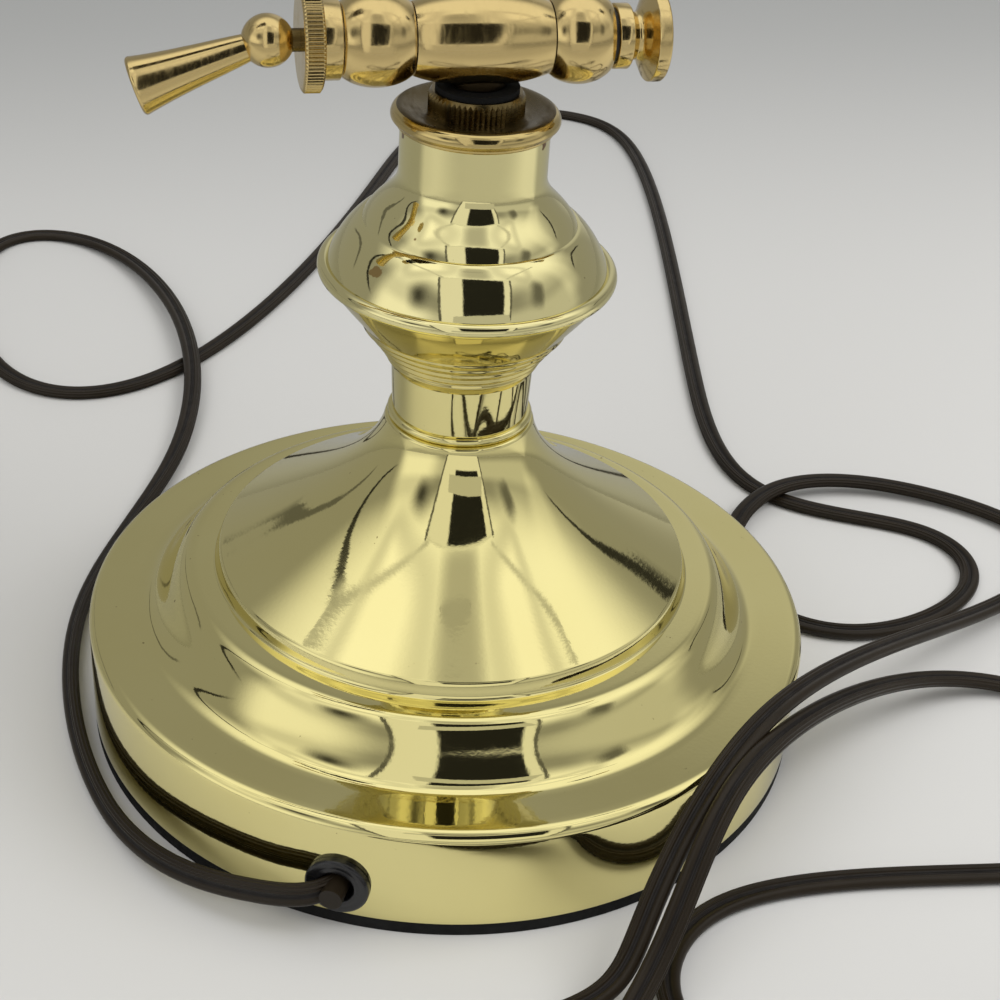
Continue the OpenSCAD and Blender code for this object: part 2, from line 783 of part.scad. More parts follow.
// Outer or inner line of the bulb's glass, from its neck to its round end
function bulb_line(inset_by) =
    concat(
        [[bulb_cap_r - 0.5 - inset_by, 0]],
        curve([bulb_cap_r - 0.5 - inset_by, 0.5], [bulb_cap_r - inset_by, 5],
            [bulb_r - inset_by, 5], [bulb_r - inset_by, 12], 8),
        [[bulb_r - inset_by, 12]],
        arc([0, bulb_l - bulb_r], bulb_r - inset_by, 0, 90, 16),
        [[0, bulb_l - inset_by]]
    );

module bulb_glass() {
    from = socket_x - core_l - bulb_cap_l;
    color(opal) translate([-from, 0, pivot_z]) rotate([0, 90, 0])
        turned(concat(bulb_line(0), reversed(bulb_line(bulb_wall))));
}

// Shade: a rounded glass trough, open below

plan_power = 0.36;
end_power = 0.3;
arch_power = 0.86;
rise_power = 0.94;
shade_around = 56;
shade_up = 12;

function powered(v, e) = sign(v) * pow(abs(v), e);

// A point of the trough: w goes round its plan, v climbs from its lower edge to its crown
function trough_point(w, v, a, b, h) = [
    a * powered(cos(w), plan_power) * pow(cos(v), end_power),
    b * powered(sin(w), plan_power) * pow(cos(v), arch_power),
    h * pow(sin(v), rise_power)
];

function trough_rings(a, b, h) =
    [for (j = [0 : shade_up - 1]) for (i = [0 : shade_around - 1])
        trough_point(360 * (i + 0.5) / shade_around, 90 * j / shade_up, a, b, h)];

// Faces of a dome of rings closed by a top point, seen from outside or from inside
function dome_faces(first, top, out) =
    let (n = shade_around)
    concat(
        [for (j = [0 : shade_up - 2]) for (i = [0 : n - 1]) for (half = [0, 1])
            let (
                a = first + j * n + i,
                b = first + j * n + (i + 1) % n,
                tri = half == 0 ? [a, a + n, b] : [b, a + n, b + n]
            )
            out ? tri : reversed(tri)],
        [for (i = [0 : n - 1])
            let (
                a = first + (shade_up - 1) * n + i,
                b = first + (shade_up - 1) * n + (i + 1) % n
            )
            out ? [a, top, b] : [b, top, a]]
    );

module shade_glass() {
    count = shade_up * shade_around;
    points = concat(
        trough_rings(shade_a, shade_b, shade_h), [[0, 0, shade_h]],
        trough_rings(shade_a - shade_t, shade_b - shade_t, shade_h - shade_t), [[0, 0, shade_h - shade_t]]
    );
    rim = [for (i = [0 : shade_around - 1]) for (half = [0, 1])
        let (next = (i + 1) % shade_around, in = count + 1)
        half == 0 ? [i, next, in + i] : [next, in + next, in + i]];
    faces = concat(dome_faces(0, count, true), dome_faces(count + 1, 2 * count + 1, false), rim);
    color(glass_green) difference() {
        translate([0, 0, shade_z]) polyhedron(points, faces);
        for (side = [-1, 1]) rod_x(shade_hole_r, shade_a - 20, shade_a + 10, pivot_z, side);
    }
}

// Rubber bushing that lines the hole in one end of the shade and spaces it from the arm
module shade_bushing(side) {
    color(black) difference() {
        union() {
            rod_x(shade_hole_r, bushing_in_x, eye_x - face_gap, pivot_z, side);
            rod_x(bushing_flange_r, shade_a + 0.2, eye_x - face_gap, pivot_z, side);
            rod_x(bushing_flange_r, bushing_in_x, bushing_in_x + 1.5, pivot_z, side);
        }
        rod_x(nipple_r + run_gap, bushing_in_x - 1, eye_x + 1, pivot_z, side);
    }
}

module shade_bushing_left() { shade_bushing(-1); }
module shade_bushing_right() { shade_bushing(1); }

// Wires and cord

// The cord's inner end: in through the grommet and the weight's slot, then up the centre tube
module lead_wires() {
    wire_r = tube_bore - 1;
    wire_bend = wire_r + 0.6;
    color(cord_brown) union() {
        along_cord_hole(wire_bend, cord_start, wire_r);
        rotate([0, 0, -90 - cord_hole_turn]) translate([wire_bend, 0, cord_hole_z + wire_bend])
            rotate([90, 0, 0]) rotate([0, 0, 180])
                rotate_extrude(angle = 90) translate([wire_bend, 0]) circle(r = wire_r);
        translate([0, 0, cord_hole_z + wire_bend])
            cylinder(r = wire_r, h = tube_top_z - cord_hole_z - wire_bend);
    }
}

lay = cord_t / 2 + 0.1;

// The cord's route, hand-laid: out of the grommet, round the left of the base, a loop behind,
// a small loop on the right, two passes at the base's edge and a short tail to the plug
cord_route = [
    concat(cord_start * cord_hole_dir, [cord_hole_z]),
    [-90.5, -59, lay], [-101.5, 46, lay], [-55, 113.5, 2.5], [-46.5, 205, 6], [-73.5, 284, lay],
    [-115, 293, lay], [-128.5, 239, lay], [-113.5, 163, lay], [-64.5, 157, lay], [-7, 236.5, lay],
    [38, 329.5, lay], [73.5, 410, lay], [146.5, 403, lay], [159, 360.5, lay], [139.5, 252, lay],
    [116, 149.5, lay], [101, 68.5, lay], [166, 55.5, lay], [165.5, 15, lay], [110, -5.5, 2],
    [81.5, 32.5, lay], [114.5, 84.5, 6.5], [172, 72.5, lay], [204, 28.5, 3], [145.5, -2, 5],
    [56, -65, 46], [17, -110, 13], [13.5, -117.5, lay], [-81.5, -121, lay], [-54.5, -188, lay],
    [29.5, -110, lay], [37, -92, 50], [128.5, -10, lay], [172.5, -36, lay], [178.5, -91.5, 2],
    [127.5, -94.5, lay], [36.5, -77.5, lay], [15, -132.5, 2.5], [72, -147, plug_t / 2]
];
cord_end = len(cord_route) - 1;

// A point of the route, carried on in line past both of its ends
function route_point(i) =
    i < 0 ? 2 * cord_route[0] - cord_route[1]
    : i > cord_end ? 2 * cord_route[cord_end] - cord_route[cord_end - 1]
    : cord_route[i];

// A smooth line that is drawn along the route: the point at u, counted in route points
function route_at(u) =
    let (
        i = min(floor(u), cord_end - 1),
        t = u - i,
        s = 1 - t
    )
    (s * s * s * route_point(i - 1) + (3 * t * t * t - 6 * t * t + 4) * route_point(i)
        + (3 * s * s * s - 6 * s * s + 4) * route_point(i + 1) + t * t * t * route_point(i + 2)) / 6;

cord_sides = 8;
ring_bow = 2;

// How far the middle of a span of the route bows out from the straight line between its ends
function span_bow(i) = norm(route_at(i + 0.5) - (route_at(i) + route_at(i + 1)) / 2);

// Places of the rings along the route: the more a span bows, the more rings it has
ring_places = concat(
    [for (i = [0 : cord_end - 1])
        let (parts = max(1, ceil(sqrt(span_bow(i) / ring_bow))))
        for (k = [0 : parts - 1]) i + k / parts],
    [cord_end]
);
cord_rings = len(ring_places) - 1;

// One ring of the cord, a flattened loop square to the route and level across
function cord_ring(k) =
    let (
        u = ring_places[k],
        p = route_at(u),
        along = unit(route_at(min(u + 0.05, cord_end)) - route_at(max(u - 0.05, 0))),
        across = unit(cross(along, [0, 0, 1])),
        up = cross(across, along)
    )
    [for (s = [0 : cord_sides - 1])
        let (w = 360 * (s + 0.5) / cord_sides)
        p + 0.5 * cord_w * powered(cos(w), 0.8) * across + 0.5 * cord_t * powered(sin(w), 0.6) * up];

module cord() {
    points = [for (k = [0 : cord_rings]) each cord_ring(k)];
    walls = [for (k = [0 : cord_rings - 1]) for (s = [0 : cord_sides - 1]) for (half = [0, 1])
        let (
            a = k * cord_sides + s,
            b = k * cord_sides + (s + 1) % cord_sides
        )
        half == 0 ? [a, b, a + cord_sides] : [b, b + cord_sides, a + cord_sides]];
    start = [for (s = [1 : cord_sides - 2]) [0, s + 1, s]];
    end_ring = cord_rings * cord_sides;
    end = [for (s = [1 : cord_sides - 2]) [end_ring, end_ring + s, end_ring + s + 1]];
    color(cord_brown) polyhedron(points, concat(walls, start, end));
}

// Plug at the end of the route, lying flat, behind its strain relief
plug_at = cord_route[cord_end];
plug_step = plug_at - cord_route[cord_end - 1];
plug_turn = atan2(plug_step[1], plug_step[0]);
plug_z = plug_t / 2;
relief_r = plug_z - 1;

module plug_frame() {
    translate([plug_at[0], plug_at[1], 0]) rotate([0, 0, plug_turn]) children();
}

module plug_body() {
    corner = 2;
    color(cord_brown) plug_frame() union() {
        translate([0, 0, plug_z]) rotate([0, 90, 0])
            cylinder(r1 = cord_w / 2 + 0.7, r2 = relief_r, h = relief_l + eps);
        translate([relief_l, 0, 0]) linear_extrude(plug_t) polygon([
            [0, -relief_r - 1], [plug_l * 0.25, -plug_w / 2], [plug_l - corner, -plug_w / 2],
            [plug_l, corner - plug_w / 2], [plug_l, plug_w / 2 - corner],
            [plug_l - corner, plug_w / 2], [plug_l * 0.25, plug_w / 2], [0, relief_r + 1]
        ]);
    }
}

module plug_blades() {
    blade_gap = 12.7;
    blade_w = 6.4;
    blade_t = 1.5;
    blade_l = 17;
    color(steel) plug_frame() for (side = [-1, 1])
        translate([relief_l + plug_l, side * blade_gap / 2 - blade_t / 2, plug_z - blade_w / 2])
            cube([blade_l, blade_t, blade_w]);
}

base_shell();
base_weight();
base_pad();
cord_grommet();
centre_tube();
pipe_washer();
pipe_locknut();
neck_ring();
neck_sleeve();
vase_lower();
vase_upper();
collar_cap();
ring_nut();
seat_washer();
tee_barrel();
left_spindle();
right_spindle();
switch_body();
switch_collar();
switch_nut();
lead_wires();
cord();
plug_body();
plug_blades();
switch_lever();
switch_shaft();
clamp_knob();
clamp_washer();
yoke_bead_left();
yoke_bead_right();
arm_left();
arm_right();
pivot_nipple();
pivot_stud();
socket_cap();
socket_shell();
socket_liner();
socket_core();
bulb_cap();
bulb_glass();
shade_glass();
shade_bushing_left();
shade_bushing_right();
shade_knob_left();
shade_knob_right();
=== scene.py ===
"""Bankers lamp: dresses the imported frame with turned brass, cast fittings, glass and a laid-out lead."""
import math

import bmesh
import bpy
from mathutils import Matrix, Vector


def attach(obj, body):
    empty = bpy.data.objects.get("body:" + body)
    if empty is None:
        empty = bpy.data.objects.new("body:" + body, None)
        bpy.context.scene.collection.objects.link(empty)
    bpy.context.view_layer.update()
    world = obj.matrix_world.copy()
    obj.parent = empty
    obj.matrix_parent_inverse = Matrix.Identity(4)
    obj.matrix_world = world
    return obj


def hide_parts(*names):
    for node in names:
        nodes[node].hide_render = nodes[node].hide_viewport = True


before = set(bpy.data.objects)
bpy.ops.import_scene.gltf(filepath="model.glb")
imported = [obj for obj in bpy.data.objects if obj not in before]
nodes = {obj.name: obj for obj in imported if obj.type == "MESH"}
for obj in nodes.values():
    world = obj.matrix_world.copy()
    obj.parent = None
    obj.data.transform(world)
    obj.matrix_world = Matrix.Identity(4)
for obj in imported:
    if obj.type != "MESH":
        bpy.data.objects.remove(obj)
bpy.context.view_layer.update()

MM = 0.001

# Sizes in millimetres, as in the part's source
BASE_R = 89.0
PAD_T = 2.0
PAD_RIM = 3.2
SHELL_T = 1.2
EDGE_R = 2.5
EDGE_SOFT = 0.4
RECESS = 0.15
BORDER_R = 76.6
BORDER_Z = 29.2
COVE_R = 63.6
RING_Z = 41.3
STEP_R = 58.5
BELL_R = 56.6
STEP_Z = 45.4
LIP_R = 17.7
LIP_Z = 81.8
LIP_ROUND = 1.0
NECK_R = 16.0
NECK_RING_H = 2.2
NECK_TOP_Z = 95.6
NECK_FLARE = 0.5
SHOULDER_R = 33.9
SHOULDER_Z = 118.0
BEAD_R = 1.7
RIB_COUNT = 5
RIB_H = 0.6
RIB_START = 0.08
RIB_SPAN = 0.5
BAND_Z = 131.4
DOME_Z = 142.6
TOP_R = 16.4
TOP_Z = 153.1
COLLAR_R = 18.5
COLLAR_Z = 157.5
COLLAR_EDGE = 2.2
SPIGOT_L = 4.0
RING_NUT_Z = 156.6
RING_NUT_R = 10.5
RING_NUT_TEETH = 54
RING_NUT_BEVEL = 1.1
SEAT_Z = 161.2
BOSS_Z = 162.4
BOSS_WALL = 1.0
BOSS_BEVEL = 0.3
TUBE_R = 5.0
TEE_Z = 172.4
BARREL_HALF = 14.6
BARREL_R = 9.8
SEAM_R = 7.6
FACE_GAP = 0.3
LEFT_BEAD_L = 14.8
RIGHT_BEAD_L = 12.8
YOKE_BEAD_R = 9.9
SPINDLE_R = 4.0
RUN_GAP = 0.05
SWITCH_COLLAR_R = 8.3
SWITCH_COLLAR_L = 3.8
SWITCH_NUT_R = 10.8
SWITCH_NUT_L = 4.4
SWITCH_NUT_TEETH = 78
SHAFT_R = 2.4
LEVER_GAP = 1.0
BALL_R = 5.5
LEVER_L = 28.8
LEVER_D1 = 5.8
LEVER_D2 = 12.3
LEVER_SLANT = 19.0
LEVER_ROUND = 0.8
KNOB_RING_R = 6.9
KNOB_RING_L = 3.4
KNOB_GROOVE_L = 4.4
KNOB_DISC_R = 9.7
KNOB_DISC_T = 3.0
KNOB_ROUND = 0.6
CLAMP_WASHER_T = 0.8
ARM_R = 3.6
ARM_BEND = 18.0
ARM_RISE = 49.0
ARM_FOOT = 5.6
PIVOT_Z = 285.4
SHADE_A = 115.0
SHADE_B = 66.0
SHADE_H = 92.0
SHADE_T = 4.0
SHADE_Z = 262.4
SHADE_HOLE_R = 8.0
SHADE_GAP = 2.9
EYE_T = 7.6
EYE_R = 8.0
EYE_ROUND = 0.8
EYE_SINK = 0.6
NIPPLE_R = 5.0
SHADE_KNOB_R = 9.0
SHADE_KNOB_L = 12.5
SHADE_KNOB_TEETH = 36
SHADE_CAP_L = 3.0
SOCKET_R = 17.0
SOCKET_L = 38.0
SOCKET_CAP_L = 12.0
BULB_R = 15.0
BULB_L = 110.0
BULB_WALL = 1.0
BULB_CAP_R = 13.0
BULB_CAP_L = 24.0
CORE_L = 10.0
CORD_W = 5.6
CORD_T = 2.8
CORD_HOLE_Z = 12.0
CORD_HOLE_TURN = 26.5
GROMMET_R = 7.3
GROMMET_BORE_R = 3.8
GROMMET_LIP = 1.8
GROMMET_NECK_R = GROMMET_R - 1.2
GROMMET_ROUND = 0.9
RELIEF_L = 22.0
PLUG_L = 30.0
PLUG_W = 24.0
PLUG_T = 11.0

BEAD_X = BARREL_HALF + FACE_GAP
LEFT_BEAD_END = BEAD_X + LEFT_BEAD_L
SWITCH_COLLAR_X = LEFT_BEAD_END + FACE_GAP
SWITCH_NUT_X = SWITCH_COLLAR_X + SWITCH_COLLAR_L
SWITCH_NUT_END = SWITCH_NUT_X + SWITCH_NUT_L
BALL_X = SWITCH_NUT_END + LEVER_GAP + BALL_R
RIGHT_BEAD_END = BEAD_X + RIGHT_BEAD_L
KNOB_X = RIGHT_BEAD_END + FACE_GAP + CLAMP_WASHER_T
KNOB_END = KNOB_X + KNOB_RING_L + KNOB_GROOVE_L + KNOB_DISC_T
ARM_X = SHADE_A + SHADE_GAP + ARM_R
SHADE_KNOB_X = ARM_X + EYE_T / 2 + FACE_GAP
BUSHING_IN_X = SHADE_A - SHADE_T - 1.8 - 3.4
SOCKET_X = BUSHING_IN_X - FACE_GAP - SOCKET_CAP_L
BULB_X = SOCKET_X - CORE_L - BULB_CAP_L
# Word, direction and bead length of each side
SIDES = (("left", -1, LEFT_BEAD_L), ("right", 1, RIGHT_BEAD_L))


# Curves in the plane of a profile

def curve(start, out, back, stop, steps):
    """Points of a cubic curve, the last left out. Its handles lie at out and back from its ends."""
    first = [p + d for p, d in zip(start, out)]
    second = [p + d for p, d in zip(stop, back)]
    points = []
    for i in range(steps):
        t = i / steps
        s = 1 - t
        weights = (s ** 3, 3 * s * s * t, 3 * s * t * t, t ** 3)
        by_axis = zip(start, first, second, stop)
        points.append(tuple(sum(w * p for w, p in zip(weights, ends)) for ends in by_axis))
    return points


def arc(centre, radius, start, stop, steps):
    """Points of an arc, angles in degrees, the last point left out."""
    points = []
    for i in range(steps):
        w = math.radians(start + (stop - start) * i / steps)
        points.append((centre[0] + radius * math.cos(w), centre[1] + radius * math.sin(w)))
    return points


def round_low(r, h, by, steps):
    """A rounded lower edge at radius r and height h, the last point left out."""
    return arc((r - by, h + by), by, -90, 0, steps)


def round_high(r, h, by, steps):
    """A rounded upper edge at radius r and height h, the last point left out."""
    return arc((r - by, h - by), by, 0, 90, steps)


def line(a, b, steps):
    """Evenly spaced points from a towards b, the last point left out."""
    return [tuple(a[k] + (b[k] - a[k]) * i / steps for k in (0, 1)) for i in range(steps)]


def inset(profile, by):
    """A profile moved to its left."""
    moved = []
    last = len(profile) - 1
    for i, p in enumerate(profile):
        before = profile[max(i - 1, 0)]
        after = profile[min(i + 1, last)]
        dx = after[0] - before[0]
        dy = after[1] - before[1]
        size = math.hypot(dx, dy)
        moved.append((p[0] - by * dy / size, p[1] + by * dx / size))
    return moved


def corners(profile, limit):
    """Places of the profile where it turns by more than limit degrees."""
    found = []
    count = len(profile)
    for i, p in enumerate(profile):
        before = profile[i - 1]
        after = profile[(i + 1) % count]
        a = math.atan2(p[1] - before[1], p[0] - before[0])
        b = math.atan2(after[1] - p[1], after[0] - p[0])
        turn = abs((b - a + math.pi) % (2 * math.pi) - math.pi)
        if math.degrees(turn) > limit:
            found.append(i)
    return found


def smoothstep(a, b, x):
    t = min(max((x - a) / (b - a), 0), 1)
    return t * t * (3 - 2 * t)


# Meshes

def mesh_object(name, bm):
    bmesh.ops.recalc_face_normals(bm, faces=bm.faces)
    mesh = bpy.data.meshes.new(name)
    bm.to_mesh(mesh)
    bm.free()
    obj = bpy.data.objects.new(name, mesh)
    bpy.context.scene.collection.objects.link(obj)
    return obj


def skin(name, rings, sharp=(), loop=True):
    """Joins rings of points into one surface. A ring of one point is a pole."""
    bm = bmesh.new()
    made = [[bm.verts.new(p) for p in ring] for ring in rings]
    pairs = list(zip(made, made[1:]))
    if loop:
        pairs.append((made[-1], made[0]))
    for a, b in pairs:
        count = max(len(a), len(b))
        for k in range(count):
            j = (k + 1) % count
            face = [a[k % len(a)], a[j % len(a)], b[j % len(b)], b[k % len(b)]]
            face = list(dict.fromkeys(face))
            if len(face) > 2:
                bm.faces.new(face).smooth = True
    for i in sharp:
        ring = made[i]
        for k, vert in enumerate(ring):
            edge = bm.edges.get((vert, ring[(k + 1) % len(ring)])) if len(ring) > 1 else None
            if edge:
                edge.smooth = False
    return mesh_object(name, bm)


def lathe(name, profile, place, around=128, limit=28):
    """Turns a closed outline of (radius, height) about its own Z axis and sets it in place."""
    clean = []
    for p in profile:
        if not clean or math.dist(p, clean[-1]) > 1e-4:
            clean.append(p)
    if math.dist(clean[0], clean[-1]) < 1e-4:
        clean.pop()
    rings = []
    for r, h in clean:
        count = around if r > 1e-4 else 1
        ring = []
        for k in range(count):
            w = 2 * math.pi * k / count
            ring.append(place @ Vector((r * math.cos(w) * MM, r * math.sin(w) * MM, h * MM)))
        rings.append(ring)
    return skin(name, rings, corners(clean, limit))


def knurled(name, radius, teeth, heights, bore, place, depth=0.5, lip=0.6):
    """A straight-knurled wheel with rounded teeth, chamfered ends and a bore."""
    per_tooth = 6
    count = teeth * per_tooth

    def ring(r, tooth, h):
        points = []
        for k in range(count):
            w = 2 * math.pi * k / count
            wave = 0.5 - 0.5 * math.cos(2 * math.pi * k / per_tooth)
            reach = (r - tooth * wave ** 0.8) * MM
            points.append(place @ Vector((reach * math.cos(w), reach * math.sin(w), h * MM)))
        return points

    low, high = heights
    inner = radius - depth - 0.1
    rings = [
        ring(bore, 0, low),
        ring(inner - lip, 0, low),
        ring(inner, 0, low + 0.25 * lip),
        ring(radius, depth, low + lip),
        ring(radius, depth, high - lip),
        ring(inner, 0, high - 0.25 * lip),
        ring(inner - lip, 0, high),
        ring(bore, 0, high),
    ]
    return skin(name, rings, (0, 1, 3, 4, 6, 7))


def sweep(name, path, section, frames):
    """Draws a closed section along a path, with its own across and up at each point, and closes the ends."""
    rings = []
    for p, (across, up) in zip(path, frames):
        rings.append([p + across * (x * MM) + up * (y * MM) for x, y in section])
    ends = [[path[0]], [path[-1]]]
    return skin(name, [ends[0]] + rings + [ends[1]], (1, len(rings)), loop=False)


def apply_cut(obj, cutter):
    """Cuts one mesh out of another and keeps the result as plain mesh."""
    modifier = obj.modifiers.new("cut", "BOOLEAN")
    modifier.operation = "DIFFERENCE"
    modifier.solver = "EXACT"
    modifier.object = cutter
    bpy.context.view_layer.update()
    graph = bpy.context.evaluated_depsgraph_get()
    mesh = bpy.data.meshes.new_from_object(obj.evaluated_get(graph))
    obj.modifiers.clear()
    old = obj.data
    obj.data = mesh
    bpy.data.meshes.remove(old)
    bpy.data.objects.remove(cutter)


def hole_cutter(radius, start, stop, place):
    """A round bar that cuts a hole along a place's own Z axis."""
    return lathe("hole_cutter", [(0, start), (radius, start), (radius, stop), (0, stop)], place, 64)


UPRIGHT = Matrix.Identity(4)


def along_x(height, side=1, start=0):
    """Places a turned piece on a level axis, its Z pointing to +X or -X from a start on it."""
    turn = Matrix.Rotation(math.radians(90 * side), 4, "Y")
    return Matrix.Translation((start * MM, 0, height * MM)) @ turn


def dress(obj, body, material, replaced):
    """Gives a piece its material and its body, and hides the node that it stands for."""
    obj.data.materials.clear()
    obj.data.materials.append(material)
    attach(obj, body)
    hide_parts(replaced)


# Materials

def feed(socket, value):
    """Links a value into a socket, or sets the socket where the value is a plain one."""
    if isinstance(value, bpy.types.NodeSocket):
        socket.id_data.links.new(value, socket)
    else:
        socket.default_value = value


def fill(made, **values):
    """Feeds a node's sockets and sets its properties by name."""
    for key, value in values.items():
        socket = made.inputs.get(key.replace("_", " "))
        if socket is None:
            setattr(made, key, value)
        else:
            feed(socket, value)
    return made


def node(tree, kind, **values):
    """Adds a node to a tree. The helpers below add theirs to the tree of the value that they take."""
    return fill(tree.nodes.new(kind), **values)


def place_of(tree):
    return node(tree, "ShaderNodeTexCoord").outputs["Object"]


def new_material(name, base, metallic, roughness):
    """A material, its shader and the place on the part."""
    material = bpy.data.materials.new(name)
    material.use_nodes = True
    shader = material.node_tree.nodes["Principled BSDF"]
    fill(shader, Base_Color=(*base, 1), Metallic=metallic, Roughness=roughness)
    return material, shader, place_of(material.node_tree)


def noise(place, scale, detail=3.0, roughness=0.5, stretch=None):
    """A noise in the part's own metres, stretched if asked, and its value from 0 to 1."""
    if stretch:
        place = node(place.id_data, "ShaderNodeMapping", Vector=place, Scale=stretch).outputs["Vector"]
    made = node(
        place.id_data, "ShaderNodeTexNoise", Vector=place, Scale=scale, Detail=detail, Roughness=roughness)
    return made.outputs["Fac"]


def remap(value, low, high, out_low, out_high):
    made = node(value.id_data, "ShaderNodeMapRange", Value=value, From_Min=low, From_Max=high)
    return fill(made, To_Min=out_low, To_Max=out_high).outputs["Result"]


def ramp(value, start, stop):
    """0 at start, 1 at stop, smooth between."""
    made = node(value.id_data, "ShaderNodeMapRange", interpolation_type="SMOOTHSTEP")
    return fill(made, Value=value, From_Min=start, From_Max=stop).outputs["Result"]


def math_node(operation, a, b):
    source = a if isinstance(a, bpy.types.NodeSocket) else b
    made = node(source.id_data, "ShaderNodeMath", operation=operation)
    feed(made.inputs[0], a)
    feed(made.inputs[1], b)
    return made.outputs["Value"]


def product(first, *rest):
    for value in rest:
        first = math_node("MULTIPLY", first, value)
    return first


def sum_of(first, *rest):
    for value in rest:
        first = math_node("ADD", first, value)
    return first


def soft_band(value, low, high, soft):
    """1 between low and high, with soft ends."""
    rise = ramp(value, low - soft, low + soft)
    return product(rise, ramp(value, high + soft, high - soft))


def mix_colour(factor, a, b):
    made = node(factor.id_data, "ShaderNodeMix", data_type="RGBA", Factor=factor)
    for socket, value in ((made.inputs[6], a), (made.inputs[7], b)):
        feed(socket, (*value, 1) if isinstance(value, tuple) else value)
    return made.outputs[2]


def bump(shader, height, strength, distance, below=None):
    made = node(shader.id_data, "ShaderNodeBump", Strength=strength, Distance=distance, Height=height)
    if below is not None:
        fill(made, Normal=below)
    fill(shader, Normal=made.outputs["Normal"])
    return made.outputs["Normal"]


def spot(place, centre, radius):
    """A ragged spot at a point of the part: 1 inside, 0 outside."""
    away = node(place.id_data, "ShaderNodeVectorMath", operation="DISTANCE", Vector=place)
    feed(away.inputs[1], [c * MM for c in centre])
    ragged = remap(noise(place, 420, 2), 0.3, 0.7, -0.5 * radius * MM, 0.5 * radius * MM)
    edge = sum_of(away.outputs["Value"], ragged)
    return remap(edge, radius * MM, 0.8 * radius * MM, 0, 1)


def brass(name, colour, dark, roughness, wear, grain, chips=(), brushed=(1.0, 0.25, 3.2)):
    """Polished or satin brass with tint drift, brown specks, fine scratches and orange peel."""
    material, shader, place = new_material(name, colour, 1.0, roughness)
    drift = remap(noise(place, 26, 4), 0.35, 0.7, 0, 0.35)
    tinted = mix_colour(drift, colour, tuple(c * k for c, k in zip(colour, (0.93, 0.9, 0.8))))
    specks = remap(noise(place, 520, 2, 0.6), 0.735, 0.77, 0, wear)
    patches = remap(noise(place, 60, 3, 0.6), 0.5, 0.62, 0, 1)
    marked = mix_colour(product(specks, patches), tinted, dark)
    for centre, radius, tone in chips:
        marked = mix_colour(spot(place, centre, radius), marked, tone)
    scratch = noise(place, 340, 4, 0.65, brushed)
    haze = noise(place, 75, 5, 0.6)
    rough = sum_of(
        remap(scratch, 0.45, 0.75, 0.6 * roughness, 1.35 * roughness),
        remap(haze, 0.5, 0.8, 0, 0.5 * roughness))
    fill(shader, Base_Color=marked, Roughness=rough)
    first = bump(shader, noise(place, 950, 2, 0.5), grain, 0.0002)
    bump(shader, scratch, 0.5 * grain, 0.0002, first)
    return material


def plain(name, colour, roughness, tint, scale, grain, metallic=0.0, specular=0.5):
    """A moulded, rubber, cast or steel surface: two tints, uneven gloss and a fine grain."""
    material, shader, place = new_material(name, colour, metallic, roughness)
    drift = remap(noise(place, scale, 4), 0.3, 0.7, 0, 1)
    gloss = remap(noise(place, 4 * scale, 3), 0.3, 0.7, 0.85 * roughness, 1.15 * roughness)
    fill(shader, Base_Color=mix_colour(drift, colour, tint), Roughness=gloss)
    fill(shader, Specular_IOR_Level=specular)
    bump(shader, noise(place, 12 * scale, 3), grain, 0.0003)
    return material


def glazed(name, colour, tint, roughness, coat, specular=0.5):
    """Cased glass: a coloured body under a clear glossy skin, with faint streaks from blowing."""
    material, shader, place = new_material(name, colour, 0.0, roughness)
    streaks = remap(noise(place, 22, 4, 0.55, (0.4, 1.0, 1.6)), 0.35, 0.68, 0, 1)
    fill(shader, Base_Color=mix_colour(streaks, colour, tint), Specular_IOR_Level=specular)
    fill(shader, Coat_Weight=coat, Coat_Roughness=0.04, IOR=1.52)
    bump(shader, noise(place, 30, 2), 0.06, 0.001)
    return material


BRASS_PALE = (0.83, 0.75, 0.35)
BRASS_WARM = (0.70, 0.54, 0.245)
BRASS_SILVERY = (0.84, 0.77, 0.40)
BRASS_DEEP = (0.60, 0.47, 0.20)
BRASS_RIBBED = (0.70, 0.61, 0.26)
BRASS_RUBBED = (0.20, 0.148, 0.062)
BRASS_AGED = (0.135, 0.10, 0.04)
# Near-black brass: painted shade for the gap under the tee barrel
BRASS_PAINTED_SHADE = (0.03, 0.021, 0.011)
BROWN = (0.12, 0.06, 0.02)
CHIP_BROWN = (0.20, 0.10, 0.03)
CHIP_RAW = (0.48, 0.33, 0.13)

plated = brass("plated_brass", BRASS_PALE, BROWN, 0.05, 0.8, 0.02)
vase_brass = brass(
    "plated_brass_worn", BRASS_SILVERY, BROWN, 0.05, 0.9, 0.02,
    (((-15.0, -15.5, 132.5), 1.3, CHIP_BROWN), ((-24.0, -16.5, 127.0), 1.5, CHIP_RAW),
     ((-16.3, -2.0, 152.2), 1.0, CHIP_BROWN), ((12.9, -10.1, 152.0), 1.2, CHIP_BROWN)),
)
ribbed = brass("plated_brass_ribbed", BRASS_RIBBED, BROWN, 0.07, 0.9, 0.03)
cast = brass("cast_brass", BRASS_WARM, BROWN, 0.19, 0.7, 0.02, (), (3.0, 0.8, 0.8))
deep = brass("cast_brass_deep", BRASS_DEEP, BROWN, 0.14, 0.9, 0.03)
aged = brass("cast_brass_aged", BRASS_AGED, BROWN, 0.42, 0.5, 0.06)
aged_clean = brass("cast_brass_rubbed", BRASS_RUBBED, BROWN, 0.30, 0.5, 0.04)
painted_shade_black = brass("cast_brass_blackened", BRASS_PAINTED_SHADE, BROWN, 0.45, 0.3, 0.05)
pad_black = plain(
    "foot_pad_black", (0.006, 0.006, 0.006), 0.8, (0.011, 0.011, 0.011), 90, 0.3, specular=0.15)
rubber = plain("rubber_black", (0.010, 0.010, 0.010), 0.42, (0.018, 0.018, 0.018), 120, 0.12)
grommet_black = plain("grommet_black", (0.005, 0.005, 0.006), 0.24, (0.009, 0.009, 0.010), 120, 0.05)
